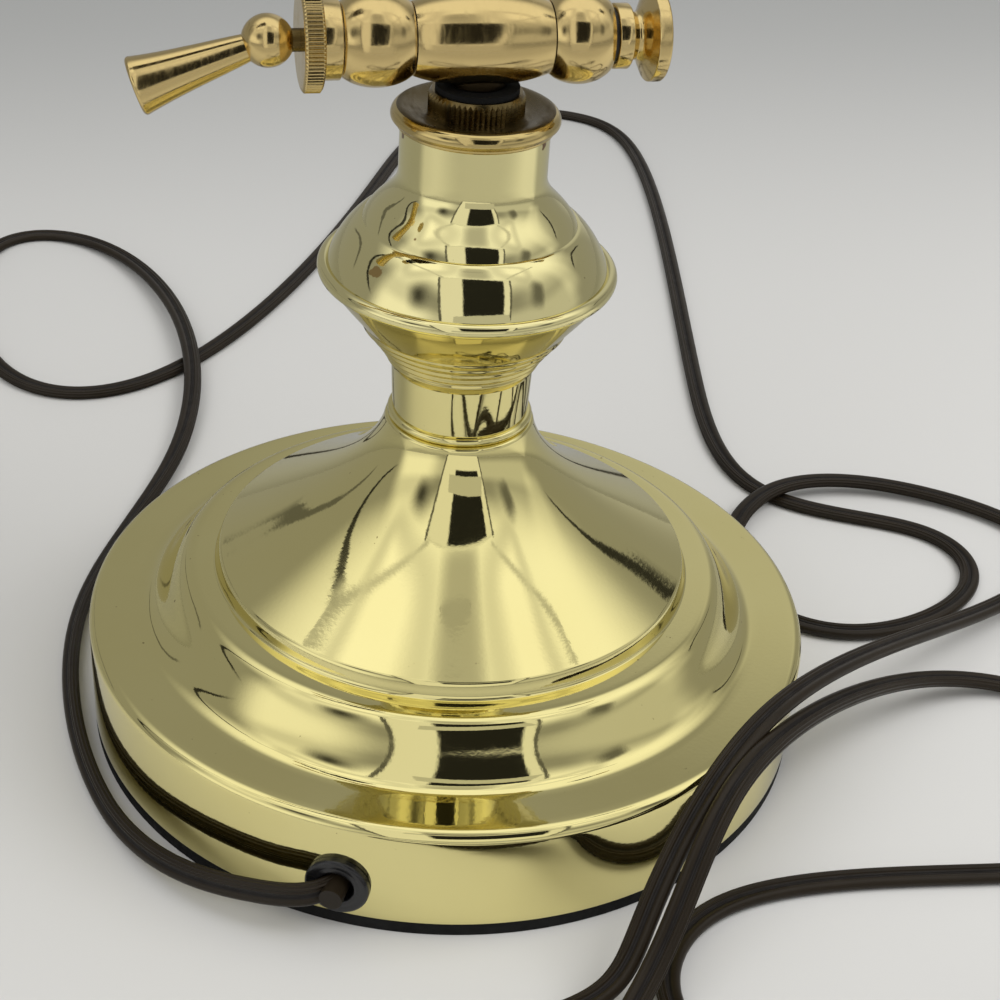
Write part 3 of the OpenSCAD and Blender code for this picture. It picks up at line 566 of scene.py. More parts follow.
moulded = plain("moulded_black", (0.020, 0.019, 0.018), 0.45, (0.03, 0.03, 0.03), 90, 0.1)
liner = plain("liner_card", (0.22, 0.15, 0.085), 0.75, (0.29, 0.21, 0.12), 70, 0.25)
iron = plain("cast_iron", (0.06, 0.06, 0.065), 0.6, (0.10, 0.09, 0.085), 60, 0.4, 0.9)
steel = plain("zinc_steel", (0.55, 0.56, 0.57), 0.3, (0.46, 0.47, 0.47), 80, 0.06, 1.0)
lead_brown = plain(
    "lead_brown", (0.0135, 0.0095, 0.0052), 0.34, (0.0185, 0.0130, 0.0072), 60, 0.10, specular=0.22)
# Darker lead: painted shade in the groove between the two cores
lead_groove_shade = plain("lead_groove_shade", (0.006, 0.0042, 0.003), 0.7, (0.009, 0.0065, 0.005), 60, 0.10)
green_glass = glazed("green_glass", (0.004, 0.105, 0.042), (0.006, 0.150, 0.060), 0.12, 0.4, 0.35)
white_glass = glazed("white_glass", (0.86, 0.86, 0.82), (0.80, 0.81, 0.77), 0.25, 0.4)
opal = glazed("opal_bulb", (0.88, 0.87, 0.83), (0.83, 0.82, 0.78), 0.35, 0.2)


# Base

def base_outline():
    """Outer line of the base from the foot of its wall to the lip."""
    return (
        round_low(BASE_R, PAD_RIM, EDGE_SOFT, 4)
        + line((BASE_R, PAD_RIM + EDGE_SOFT), (BASE_R, BORDER_Z - EDGE_R), 14)
        + round_high(BASE_R, BORDER_Z, EDGE_R, 14)
        + line((BASE_R - EDGE_R, BORDER_Z), (BORDER_R, BORDER_Z), 6)
        + curve((BORDER_R, BORDER_Z), (-6.11, 0.24), (4.94, 0), (COVE_R, RING_Z), 44)
        + line((COVE_R, RING_Z), (STEP_R, RING_Z), 4)
        + curve((STEP_R, RING_Z), (-0.95, 0.33), (1.14, -0.41), (BELL_R, STEP_Z), 14)
        + curve((BELL_R, STEP_Z), (-20, 12), (3, -13), (LIP_R, LIP_Z - LIP_ROUND), 64)
        + round_high(LIP_R, LIP_Z, LIP_ROUND, 6)
        + [(LIP_R - LIP_ROUND, LIP_Z)]
    )


def hole_place():
    """Frame of the cord hole: Z points out of the base."""
    turn = math.radians(CORD_HOLE_TURN)
    out = Vector((-math.sin(turn), -math.cos(turn), 0))
    return Matrix.Translation((0, 0, CORD_HOLE_Z * MM)) @ out.to_track_quat("Z", "Y").to_matrix().to_4x4()


outer = base_outline()
lip_under = LIP_Z - SHELL_T
inner = [p for p in inset(outer, SHELL_T) if PAD_RIM + 1 < p[1] < lip_under - 0.5]
shell_outline = outer + [(TUBE_R, LIP_Z), (TUBE_R, lip_under), (LIP_R - SHELL_T - 0.4, lip_under)]
shell_outline += inner[::-1] + [(BASE_R - SHELL_T, PAD_RIM)]
base_shell = lathe("base_shell_spun", shell_outline, UPRIGHT, 288)
apply_cut(base_shell, hole_cutter(GROMMET_NECK_R, BASE_R - 6, BASE_R + 3, hole_place()))
dress(base_shell, "base", plated, "base_shell")

pad_r = BASE_R - 0.1
pad = lathe(
    "foot_pad", [(0, 0)] + round_low(pad_r, 0, 0.3, 5)
    + [(pad_r, PAD_RIM), (BASE_R - SHELL_T, PAD_RIM), (BASE_R - SHELL_T, PAD_T), (0, PAD_T)],
    UPRIGHT, 192)
dress(pad, "base", pad_black, "base_pad")

flange = BASE_R + GROMMET_LIP
grommet_back = BASE_R - 5.2
mouth = flange - GROMMET_ROUND
grommet = lathe(
    "grommet_moulded",
    [(GROMMET_BORE_R, grommet_back), (GROMMET_NECK_R, grommet_back), (GROMMET_NECK_R, BASE_R)]
    + [(GROMMET_R, BASE_R)] + round_high(GROMMET_R, flange, GROMMET_ROUND, 8)
    + [(GROMMET_R - 1.7, flange - RECESS), (GROMMET_R - 2.0, flange - RECESS)]
    + arc((GROMMET_BORE_R + GROMMET_ROUND, mouth), GROMMET_ROUND, 90, 180, 8)
    + [(GROMMET_BORE_R, mouth)],
    hole_place(), 96)
dress(grommet, "base", grommet_black, "cord_grommet")


# Column

half_ring = NECK_RING_H / 2
ring_mid = LIP_R - 0.6 - half_ring
neck_in = NECK_R - SHELL_T
sleeve_foot = LIP_Z + NECK_RING_H
neck_ring = lathe(
    "neck_ring_turned",
    [(neck_in, LIP_Z), (ring_mid, LIP_Z)] + arc((ring_mid, LIP_Z + half_ring), half_ring, -80, 80, 20)
    + [(ring_mid, sleeve_foot), (neck_in, sleeve_foot)],
    UPRIGHT, 160)
dress(neck_ring, "base", plated, "neck_ring")

neck_sleeve = lathe(
    "neck_sleeve_turned",
    [(neck_in, sleeve_foot)] + line((NECK_R, sleeve_foot), (NECK_R + NECK_FLARE, NECK_TOP_Z), 8)
    + [(NECK_R + NECK_FLARE, NECK_TOP_Z), (neck_in + NECK_FLARE, NECK_TOP_Z)],
    UPRIGHT, 160)
dress(neck_sleeve, "base", plated, "neck_sleeve")


def shoulder_outline(steps):
    """Outer line of the lower shoulder; the spun ribs are waves on it."""
    foot = NECK_R + 0.6
    head = SHOULDER_R - BEAD_R
    flat = curve((foot, NECK_TOP_Z), (0.8, 5.4), (-6, -9), (head, SHOULDER_Z), steps)
    flat.append((head, SHOULDER_Z))
    made = []
    for i, p in enumerate(flat):
        t = i / steps
        share = (t - RIB_START) / RIB_SPAN
        wave = math.sin(math.pi * RIB_COUNT * share) ** 2 if 0 < share < 1 else 0
        before = flat[max(i - 1, 0)]
        after = flat[min(i + 1, steps)]
        size = math.dist(before, after)
        made.append((
            p[0] + RIB_H * wave * (after[1] - before[1]) / size,
            p[1] - RIB_H * wave * (after[0] - before[0]) / size))
    return made


low_inside = [
    p for p in inset(shoulder_outline(24), SHELL_T + RIB_H) if NECK_TOP_Z + 1.5 < p[1] < SHOULDER_Z - 1]
vase_lower = lathe(
    "vase_lower_spun",
    shoulder_outline(160) + [(SHOULDER_R - BEAD_R - SHELL_T, SHOULDER_Z)] + low_inside[::-1]
    + [(TUBE_R, NECK_TOP_Z + SHELL_T), (TUBE_R, NECK_TOP_Z)],
    UPRIGHT, 192, 40)
dress(vase_lower, "base", ribbed, "vase_lower")

upper_line = (
    arc((SHOULDER_R - BEAD_R, SHOULDER_Z + BEAD_R), BEAD_R, -90, 100, 28)
    + curve(
        (SHOULDER_R - 1.25 * BEAD_R, SHOULDER_Z + 1.9 * BEAD_R), (-1.475, 3.77), (3.2, -1.9),
        (SHOULDER_R - 9.6, BAND_Z), 40)
    + curve((SHOULDER_R - 9.9, BAND_Z), (-2.3, 4.6), (0.3, -5), (TOP_R, DOME_Z), 44)
    + line((TOP_R, DOME_Z), (TOP_R, TOP_Z), 6)
    + [(TOP_R, TOP_Z)]
)
upper_inside = [p for p in inset(upper_line, SHELL_T) if SHOULDER_Z + 3 < p[1] < TOP_Z - 0.05]
vase_upper = lathe(
    "vase_upper_spun",
    upper_line + [(TOP_R - SHELL_T, TOP_Z)] + upper_inside[::-1]
    + [(SHOULDER_R - BEAD_R - SHELL_T - 1.2, SHOULDER_Z)],
    UPRIGHT, 224)
dress(vase_upper, "base", vase_brass, "vase_upper")

skirt = TOP_R + 0.9
spigot = TOP_R - SHELL_T
dish_r = RING_NUT_R + 0.5
collar = lathe(
    "collar_cap_turned",
    [(TUBE_R, TOP_Z - SPIGOT_L), (spigot, TOP_Z - SPIGOT_L), (spigot, TOP_Z)]
    + [(skirt - 0.3, TOP_Z), (skirt, TOP_Z + 0.3)]
    + curve((skirt, TOP_Z + 0.6), (0.1, 0.6), (0, -1), (COLLAR_R, COLLAR_Z - COLLAR_EDGE), 12)
    + round_high(COLLAR_R, COLLAR_Z, COLLAR_EDGE, 18)
    + curve((COLLAR_R - COLLAR_EDGE, COLLAR_Z), (-1.6, 0), (1.5, 0), (dish_r, RING_NUT_Z), 24)
    + [(dish_r, RING_NUT_Z), (TUBE_R, RING_NUT_Z)],
    UPRIGHT, 160)
dress(collar, "base", deep, "collar_cap")
collar.data.materials.append(aged)
for face in collar.data.polygons:
    across = math.hypot(face.center.x, face.center.y)
    if across < (COLLAR_R - 0.55 * COLLAR_EDGE) * MM and face.center.z > (RING_NUT_Z - 1) * MM:
        face.material_index = 1


def make_ring_nut():
    """A nut with straight teeth whose upper ends are bevelled, so the bevel meets them in a zigzag."""
    depth = 0.5
    bevel_w = 0.7
    per_tooth = 8
    count = RING_NUT_TEETH * per_tooth
    foot = []
    side = []
    bevel = []
    for k in range(count):
        w = 2 * math.pi * k / count
        wave = abs(2 * (k % per_tooth) / per_tooth - 1)
        reach = RING_NUT_R - depth * (1 - wave)
        high = SEAT_Z - RING_NUT_BEVEL * (reach - RING_NUT_R + bevel_w) / bevel_w
        flat = Vector((math.cos(w), math.sin(w), 0)) * MM
        foot.append(flat * reach + Vector((0, 0, RING_NUT_Z * MM)))
        side.append(flat * reach + Vector((0, 0, high * MM)))
        bevel.append(flat * (RING_NUT_R - bevel_w) + Vector((0, 0, SEAT_Z * MM)))
    bore = [[Vector((p.x, p.y, 0)).normalized() * (TUBE_R * MM) + Vector((0, 0, z * MM)) for p in foot]
            for z in (SEAT_Z, RING_NUT_Z)]
    return skin("ring_nut_knurled", [foot, side, bevel, *bore], range(5))


ring_nut = make_ring_nut()
dress(ring_nut, "base", aged_clean, "ring_nut")
for face in ring_nut.data.polygons:
    face.use_smooth = False


# Tee, switch and clamp

def bulge(start, stop, end_r, mid_r, steps=40):
    """Outline of a bead: a bulge between two seams."""
    quarter = (stop - start) / 4
    rise = (mid_r - end_r) * 4 / 3
    return curve((end_r, start), (rise, quarter), (rise, -quarter), (end_r, stop), steps) + [(end_r, stop)]


barrel = lathe(
    "tee_barrel_turned",
    [(SPINDLE_R, -BARREL_HALF)] + bulge(-BARREL_HALF, BARREL_HALF, SEAM_R, BARREL_R, 64)
    + [(SPINDLE_R, BARREL_HALF)],
    along_x(TEE_Z), 128)
dress(barrel, "base", cast, "tee_barrel")

boss_r = TUBE_R + BOSS_WALL
boss_top = TEE_Z - 6
boss = lathe(
    "tee_boss_turned",
    [(TUBE_R, BOSS_Z), (boss_r - BOSS_BEVEL, BOSS_Z), (boss_r, BOSS_Z + BOSS_BEVEL)]
    + [(boss_r, boss_top), (TUBE_R, boss_top)],
    UPRIGHT, 96)
# The boss is brass coloured near black: painted shade for the gap under the barrel
dress(boss, "base", painted_shade_black, "tee_barrel")

bore = SPINDLE_R + RUN_GAP
for word, side, length in SIDES:
    stop = BEAD_X + length
    bead = lathe(
        f"bead_{word}_turned", [(bore, BEAD_X)] + bulge(BEAD_X, stop, SEAM_R, YOKE_BEAD_R) + [(bore, stop)],
        along_x(TEE_Z, side), 128)
    dress(bead, "yoke", cast, f"yoke_bead_{word}")

switch_collar = lathe(
    "switch_collar_turned",
    [(SPINDLE_R, SWITCH_COLLAR_X)] + round_low(SWITCH_COLLAR_R, SWITCH_COLLAR_X, EDGE_SOFT, 5)
    + [(SWITCH_COLLAR_R, SWITCH_NUT_X), (SPINDLE_R, SWITCH_NUT_X)],
    along_x(TEE_Z, -1), 128)
dress(switch_collar, "base", cast, "switch_collar")

switch_nut = knurled(
    "switch_nut_knurled", SWITCH_NUT_R, SWITCH_NUT_TEETH, (SWITCH_NUT_X, SWITCH_NUT_END), SHAFT_R + RUN_GAP,
    along_x(TEE_Z, -1))
dress(switch_nut, "base", cast, "switch_nut")

slant = math.radians(LEVER_SLANT)
lever_axis = Vector((-math.cos(slant), 0, -math.sin(slant)))
lever_turn = lever_axis.to_track_quat("Z", "Y").to_matrix().to_4x4()
lever_place = Matrix.Translation((-BALL_X * MM, 0, TEE_Z * MM)) @ lever_turn
neck_r = LEVER_D1 / 2
neck_h = math.sqrt(BALL_R ** 2 - neck_r ** 2)
lever_r = LEVER_D2 / 2
lever = lathe(
    "lever_turned",
    arc((0, 0), BALL_R, -90, math.degrees(math.atan2(neck_h, neck_r)), 36)
    + curve((neck_r, neck_h), (0.9, 6), (-1.7, -8.2), (lever_r, LEVER_L - LEVER_ROUND), 24)
    + round_high(lever_r, LEVER_L, LEVER_ROUND, 6)
    + [(lever_r - LEVER_ROUND, LEVER_L), (lever_r - 2 * LEVER_ROUND, LEVER_L - RECESS)]
    + [(0, LEVER_L - RECESS)],
    lever_place, 96)
dress(lever, "switch_lever", cast, "switch_lever")

groove_x = KNOB_X + KNOB_RING_L
disc_x = groove_x + KNOB_GROOVE_L
groove_r = KNOB_RING_R - 1.9
knob = lathe(
    "clamp_knob_turned",
    [(0, KNOB_X)] + round_low(KNOB_RING_R, KNOB_X, EDGE_SOFT, 5)
    + round_high(KNOB_RING_R, groove_x, EDGE_SOFT, 5)
    + curve((groove_r + 0.8, groove_x), (-1.3, 1.6), (-3.8, -1.4), (KNOB_DISC_R - 1.4, disc_x - 0.6), 20)
    + round_low(KNOB_DISC_R, disc_x, EDGE_SOFT, 4)
    + round_high(KNOB_DISC_R, KNOB_END, KNOB_ROUND, 5)
    + [(KNOB_DISC_R - KNOB_ROUND, KNOB_END), (0, KNOB_END)],
    along_x(TEE_Z), 128)
dress(knob, "clamp_knob", cast, "clamp_knob")


# Yoke

def arm_line(foot):
    """Middle line of an arm: up, out along a level run and up to the eye."""
    run = TEE_Z + ARM_RISE
    eye_foot = PIVOT_Z - EYE_R + EYE_SINK
    points = [(foot, TEE_Z + ARM_FOOT), (foot, TEE_Z + YOKE_BEAD_R)]
    points.append((foot, run - ARM_BEND - 8))
    points += arc((foot + ARM_BEND, run - ARM_BEND), ARM_BEND, 180, 90, 18)
    points += line((foot + ARM_BEND, run), (ARM_X - ARM_BEND, run), 6)
    points += arc((ARM_X - ARM_BEND, run + ARM_BEND), ARM_BEND, -90, 0, 18)
    points += line((ARM_X, run + ARM_BEND), (ARM_X, eye_foot), 4)
    return points + [(ARM_X, eye_foot)]


def yoke_arm(name, replaced, foot, side):
    path = [Vector((side * x * MM, 0, z * MM)) for x, z in arm_line(foot)]
    frames = []
    across = Vector((0, 1, 0))
    for i in range(len(path)):
        along = (path[min(i + 1, len(path) - 1)] - path[max(i - 1, 0)]).normalized()
        frames.append((across, along.cross(across)))
    tube = sweep(name, path, arc((0, 0), ARM_R, 0, 360, 40), frames)
    dress(tube, "yoke", cast, replaced)
    eye_in = ARM_X - EYE_T / 2
    eye_out = ARM_X + EYE_T / 2
    eye = lathe(
        name + "_eye",
        [(NIPPLE_R, eye_in)] + round_low(EYE_R, eye_in, EYE_ROUND, 6)
        + round_high(EYE_R, eye_out, EYE_ROUND, 6)
        + [(EYE_R - EYE_ROUND, eye_out), (NIPPLE_R, eye_out)],
        along_x(PIVOT_Z, side), 96)
    dress(eye, "yoke", cast, replaced)
    return tube, eye


arms = []
for word, side, length in SIDES:
    arms += yoke_arm(f"arm_{word}_bent", f"arm_{word}", BEAD_X + length / 2, side)


def shade_knob(name, replaced, side):
    place = along_x(PIVOT_Z, side)
    top = SHADE_KNOB_X + SHADE_KNOB_L
    cap_h = top - SHADE_CAP_L
    cap_r = SHADE_KNOB_R - 1.2
    wheel = knurled(name, SHADE_KNOB_R, SHADE_KNOB_TEETH, (SHADE_KNOB_X, cap_h), NIPPLE_R + RUN_GAP, place)
    dress(wheel, replaced, cast, replaced)
    cap = lathe(
        name + "_cap",
        [(0, cap_h - 0.1), (cap_r, cap_h - 0.1)]
        + curve((cap_r, cap_h), (-0.2, 1.4), (SHADE_KNOB_R - 3.41, 0), (0.01, top), 20)
        + [(0, top)],
        place, 96)
    dress(cap, replaced, cast, replaced)


for word, side, _ in SIDES:
    shade_knob(f"shade_knob_{word}_knurled", f"shade_knob_{word}", side)


# Socket and bulb

socket_place = along_x(PIVOT_Z, 1, -SOCKET_X - SOCKET_CAP_L)
socket_cap = lathe(
    "socket_cap_spun",
    [(NIPPLE_R, 0), (NIPPLE_R + 3, 0)]
    + curve((NIPPLE_R + 3, 0.5), (2, 1.5), (-0.5, -4), (SOCKET_R, 8), 20)
    + [(SOCKET_R, 8), (SOCKET_R, SOCKET_CAP_L), (NIPPLE_R, SOCKET_CAP_L)],
    socket_place, 112)
dress(socket_cap, "yoke", cast, "socket_cap")

shell_stop = SOCKET_CAP_L + SOCKET_L
socket_in = SOCKET_R - 0.9
socket_out = SOCKET_R - 0.2
bead_stop = SOCKET_CAP_L + 5
socket_shell = lathe(
    "socket_shell_spun",
    [(socket_in, SOCKET_CAP_L), (socket_out, SOCKET_CAP_L)]
    + curve((socket_out, bead_stop - 2), (0.2, 0.6), (0.2, -0.6), (socket_out, bead_stop), 8)
    + line((socket_out, bead_stop), (socket_out, shell_stop - 1), 6)
    + round_high(SOCKET_R, shell_stop, 0.5, 5)
    + [(SOCKET_R - 0.5, shell_stop), (socket_in, shell_stop)],
    socket_place, 112)
dress(socket_shell, "yoke", cast, "socket_shell")


def bulb_line(by):
    neck = BULB_CAP_R - 0.5 - by
    return (
        [(neck, 0)]
        + curve((neck, 0.5), (0.5, 4.5), (0, -7), (BULB_R - by, 12), 16)
        + line((BULB_R - by, 12), (BULB_R - by, BULB_L - BULB_R), 8)
        + arc((0, BULB_L - BULB_R), BULB_R - by, 0, 90, 24)
        + [(0, BULB_L - by)]
    )


bulb = lathe("bulb_tube", bulb_line(0) + bulb_line(BULB_WALL)[::-1], along_x(PIVOT_Z, 1, -BULB_X), 96)
dress(bulb, "yoke", opal, "bulb_glass")


# Shade

PLAN_POWER = 0.36
END_POWER = 0.3
ARCH_POWER = 0.86
RISE_POWER = 0.94


def powered(value, power):
    return math.copysign(abs(value) ** power, value)


def even_angles(count):
    """Angles that space points evenly round the shade's plan."""
    fine = 7200
    reach = [0.0]
    last = (SHADE_A, 0.0)
    for i in range(1, fine + 1):
        w = 2 * math.pi * i / fine
        now = (SHADE_A * powered(math.cos(w), PLAN_POWER), SHADE_B * powered(math.sin(w), PLAN_POWER))
        reach.append(reach[-1] + math.dist(now, last))
        last = now
    angles = []
    i = 0
    for k in range(count):
        want = reach[-1] * (k + 0.5) / count
        while reach[i + 1] < want:
            i += 1
        angles.append(2 * math.pi * (i + (want - reach[i]) / (reach[i + 1] - reach[i])) / fine)
    return angles


def trough_ring(angles, v, a, b, h):
    ring = []
    lift = max(math.cos(v), 0)
    for w in angles:
        ring.append(Vector((
            a * powered(math.cos(w), PLAN_POWER) * lift ** END_POWER * MM,
            b * powered(math.sin(w), PLAN_POWER) * lift ** ARCH_POWER * MM,
            (SHADE_Z + h * math.sin(v) ** RISE_POWER) * MM)))
    return ring


def make_shade():
    """The glass trough: green outside, white inside, joined by a flat band at its lower rim."""
    around = 256
    up = 72
    angles = even_angles(around)
    climb = [0.5 * math.pi * math.sin(0.5 * math.pi * j / up) for j in range(up)]
    outside = [trough_ring(angles, v, SHADE_A, SHADE_B, SHADE_H) for v in climb]
    inside = [
        trough_ring(angles, v, SHADE_A - SHADE_T, SHADE_B - SHADE_T, SHADE_H - SHADE_T) for v in climb]
    crown = [[Vector((0, 0, (SHADE_Z + SHADE_H) * MM))]]
    vault = [[Vector((0, 0, (SHADE_Z + SHADE_H - SHADE_T) * MM))]]
    shade = skin("shade_trough", vault + inside[::-1] + outside + crown, (), loop=False)
    shade.data.materials.append(green_glass)
    shade.data.materials.append(white_glass)
    inner_faces = up * around
    for face in shade.data.polygons:
        face.material_index = 1 if face.index < inner_faces else 0
    return shade


shade = make_shade()
for side in (-1, 1):
    apply_cut(shade, hole_cutter(SHADE_HOLE_R, SHADE_A - 20, SHADE_A + 10, along_x(PIVOT_Z, side)))
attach(shade, "shade")
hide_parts("shade_glass")


# Cord and plug

LAY = 1.5
HOLE_DIR = Vector((-math.sin(math.radians(CORD_HOLE_TURN)), -math.cos(math.radians(CORD_HOLE_TURN)), 0))
CORD_START = HOLE_DIR * (BASE_R + GROMMET_LIP + CORD_W / 2 + 0.8) + Vector((0, 0, CORD_HOLE_Z))
ROUTE = [
    tuple(CORD_START),
    (-90.5, -59, LAY), (-101.5, 46, LAY), (-55, 113.5, 2.5), (-46.5, 205, 6), (-73.5, 284, LAY),
    (-115, 293, LAY), (-128.5, 239, LAY), (-113.5, 163, LAY), (-64.5, 157, LAY), (-7, 236.5, LAY),
    (38, 329.5, LAY), (73.5, 410, LAY), (146.5, 403, LAY), (159, 360.5, LAY), (139.5, 252, LAY),
    (116, 149.5, LAY), (101, 68.5, LAY), (166, 55.5, LAY), (165.5, 15, LAY), (110, -5.5, 2),
    (81.5, 32.5, LAY), (114.5, 84.5, 6.5), (172, 72.5, LAY), (204, 28.5, 3), (145.5, -2, 5),
    (56, -65, 46), (17, -110, 13), (13.5, -117.5, LAY), (-81.5, -121, LAY), (-54.5, -188, LAY),
    (29.5, -110, LAY), (37, -92, 50), (128.5, -10, LAY), (172.5, -36, LAY), (178.5, -91.5, 2),
    (127.5, -94.5, LAY), (36.5, -77.5, LAY), (15, -132.5, 2.5), (72, -147, PLUG_T / 2),
]


def route_points(per_point):
    """The smooth line that is drawn along the route, as in the part's source."""
    points = [Vector(p) for p in ROUTE]
    ends = [2 * points[0] - points[1]] + points + [2 * points[-1] - points[-2]]
    made = []
    for i in range(len(points) - 1):
        for k in range(per_point):
            t = k / per_point
            s = 1 - t
            made.append((
                s ** 3 * ends[i] + (3 * t ** 3 - 6 * t * t + 4) * ends[i + 1]
                + (3 * s ** 3 - 6 * s * s + 4) * ends[i + 2] + t ** 3 * ends[i + 3]) / 6)
    made.append(points[-1])
    return made


# Faces each side of the groove's middle that take the painted shade
GROOVE_SHADE_FACES = 5
CORE_POINTS = 60
CORE_RIB = 0.12


def flat_lead_section():
    """Section of the flat two-core lead: two round cores with a groove between, fine ribs on one core."""
    core = CORD_T / 2
    middle = CORD_W / 2 - core
    points = []
    for side in (1, -1):
        first = -150 if side > 0 else 30
        for k in range(CORE_POINTS + 1):
            w = math.radians(first + 300 * k / CORE_POINTS)
            rib = CORE_RIB * math.cos(10 * w) if side > 0 else 0
            reach = core - 0.5 * CORE_RIB + rib
            points.append((side * middle + reach * math.cos(w), reach * math.sin(w)))
    return points


def make_cord():
    way = route_points(24)
    out = HOLE_DIR
    left = Vector((out.y, -out.x, 0))
    height = Vector((0, 0, CORD_HOLE_Z))
    mouth = BASE_R + GROMMET_LIP
    tail = way[8:]
    start = out * (mouth - 2.6) + left * 0.2 + height
    back = (tail[0] - tail[1]).normalized() * 8
    head = [Vector(p) for p in curve(start, out * 7 + left * 2.5, back, tail[0], 14)]
    path = [p * MM for p in head + tail]
    frames = []
    lifted = []
    run = 0.0
    for i, p in enumerate(path):
        along = (path[min(i + 1, len(path) - 1)] - path[max(i - 1, 0)]).normalized()
        flat = along.cross(Vector((0, 0, 1))).normalized()
        up = flat.cross(along)
        run += (p - path[i - 1]).length if i else 0
        roll = math.radians(78) * (1 - smoothstep(0.02, 0.30, run))
        across = flat * math.cos(roll) + up * math.sin(roll)
        frames.append((across, across.cross(along)))
        stands = (CORD_T / 2 * (1 + abs(math.sin(roll))) + 0.05) * MM
        lifted.append(Vector((p.x, p.y, max(p.z, stands))))
    section = flat_lead_section()
    obj = sweep("lead_two_core", lifted, section, frames)
    return obj, lifted, len(section)


cord, cord_path, cord_sides = make_cord()
dress(cord, "base", lead_brown, "cord")
cord.data.materials.append(lead_groove_shade)
# Faces along the groove take the darker lead: painted shade in the crease
for face in cord.data.polygons:
    around = (face.index - cord_sides) % (cord_sides // 2)
    if face.index >= cord_sides and min(around + 1, cord_sides // 2 - 1 - around) < GROOVE_SHADE_FACES:
        face.material_index = 1

plug_step = Vector(ROUTE[-1]) - Vector(ROUTE[-2])
plug_turn = math.atan2(plug_step.y, plug_step.x)
plug_at = Vector((ROUTE[-1][0], ROUTE[-1][1], PLUG_T / 2)) * MM
plug_place = Matrix.Translation(plug_at) @ Matrix.Rotation(plug_turn, 4, "Z")


def plug_stations():
    """Sections of the plug as (distance, half width, half height, corner): ribbed relief, then body."""
    rib_count = 6
    made = []
    for k in range(rib_count):
        share = k / (rib_count - 1)
        start = share * (RELIEF_L - 3.4)
        wide = 3.7 + 1.5 * share
        tall = 2.6 + 1.8 * share
        for along, swell in ((0.0, -0.5), (0.3, 0.0), (1.9, 0.1), (2.2, -0.4)):
            made.append((start + along, wide + swell, tall + swell, 0.62 * tall))
    front = RELIEF_L + PLUG_L
    half_w = PLUG_W / 2
    half_t = PLUG_T / 2
    made += [
        (RELIEF_L - 0.8, 5.3, 4.2, 2.4), (RELIEF_L + 0.4, 6.0, 4.6, 2.6), (RELIEF_L + 3.5, 9.4, 5.2, 2.8),
        (RELIEF_L + 7.0, half_w - 0.4, half_t - 0.1, 3.0), (RELIEF_L + 10.0, half_w, half_t, 3.0),
        (front - 3.0, half_w, half_t, 3.0), (front - 0.8, half_w - 0.3, half_t - 0.3, 2.8),
        (front, half_w - 1.0, half_t - 0.9, 2.4),
    ]
    return made


def make_plug():
    """Moulded plug: rounded sections that swell from the lead to the flat front."""
    rings = []
    for x, wide, tall, round_r in plug_stations():
        ring = []
        for corner, (sy, sz) in enumerate(((1, 1), (-1, 1), (-1, -1), (1, -1))):
            for k in range(9):
                w = math.radians(90 * corner + 90 * k / 8)
                y = sy * (wide - round_r) + round_r * math.cos(w)
                z = sz * (tall - round_r) + round_r * math.sin(w)
                ring.append(plug_place @ (Vector((x, y, z)) * MM))
        rings.append(ring)
    ends = [[plug_place @ Vector((0, 0, 0))], [plug_place @ Vector(((RELIEF_L + PLUG_L) * MM, 0, 0))]]
    return skin("plug_moulded", [ends[0]] + rings + [ends[1]], (1, len(rings)), loop=False)


plug = make_plug()
dress(plug, "base", lead_brown, "plug_body")


# Nodes that keep their solids

KEPT = {
    iron: ["base_weight"],
    steel: ["centre_tube", "pipe_washer", "pipe_locknut", "left_spindle", "right_spindle", "pivot_nipple",
            "pivot_stud", "bulb_cap", "plug_blades"],
    aged: ["switch_shaft"],
    pad_black: ["seat_washer"],
    rubber: ["clamp_washer", "shade_bushing_left", "shade_bushing_right"],
    moulded: ["switch_body", "socket_core"],
    liner: ["socket_liner"],
    lead_brown: ["lead_wires"],
}
for material, names in KEPT.items():
    for name in names:
        nodes[name].data.materials.clear()
        nodes[name].data.materials.append(material)


# Stage: a pale floor, soft light and the photograph's camera

# The front, far and mirrored floor colours are darker: painted shade and painted light falloff
FLOOR_NEAR = (0.615, 0.61, 0.597)
FLOOR_FRONT_SHADE = (0.43, 0.426, 0.414)
FLOOR_FAR_SHADE = (0.36, 0.364, 0.36)
FLOOR_MIRRORED_SHADE = (0.33, 0.33, 0.32)
BACKDROP = 0.29
TENT_LEVEL = 0.31


def make_floor():
    bm = bmesh.new()
    bmesh.ops.create_grid(bm, x_segments=2, y_segments=2, size=6.0)
    floor = mesh_object("floor", bm)
    material, shader, place = new_material("floor_pale", FLOOR_NEAR, 0.0, 0.6)
    tree = material.node_tree
    parts = node(tree, "ShaderNodeSeparateXYZ", Vector=place)
    depth = parts.outputs["Y"]
    # Painted shade: darker in front of the lamp and towards the back
    colour = mix_colour(ramp(depth, -0.10, -0.34), FLOOR_NEAR, FLOOR_FRONT_SHADE)
    colour = mix_colour(ramp(depth, 0.12, 0.62), colour, FLOOR_FAR_SHADE)
    paths = node(tree, "ShaderNodeLightPath")
    away = node(tree, "ShaderNodeVectorMath", operation="LENGTH", Vector=place)
    # Painted light falloff: camera rays see the floor darker with distance
    far = product(ramp(away.outputs["Value"], 0.8, 1.9), paths.outputs["Is Camera Ray"])
    colour = mix_colour(far, colour, FLOOR_FAR_SHADE)
    # Painted shade: glossy rays see the floor behind the lamp darker
    mirrored_shade = product(paths.outputs["Is Glossy Ray"], ramp(depth, -0.01, 0.09))
    fill(shader, Base_Color=mix_colour(mirrored_shade, colour, FLOOR_MIRRORED_SHADE))
    floor.data.materials.append(material)


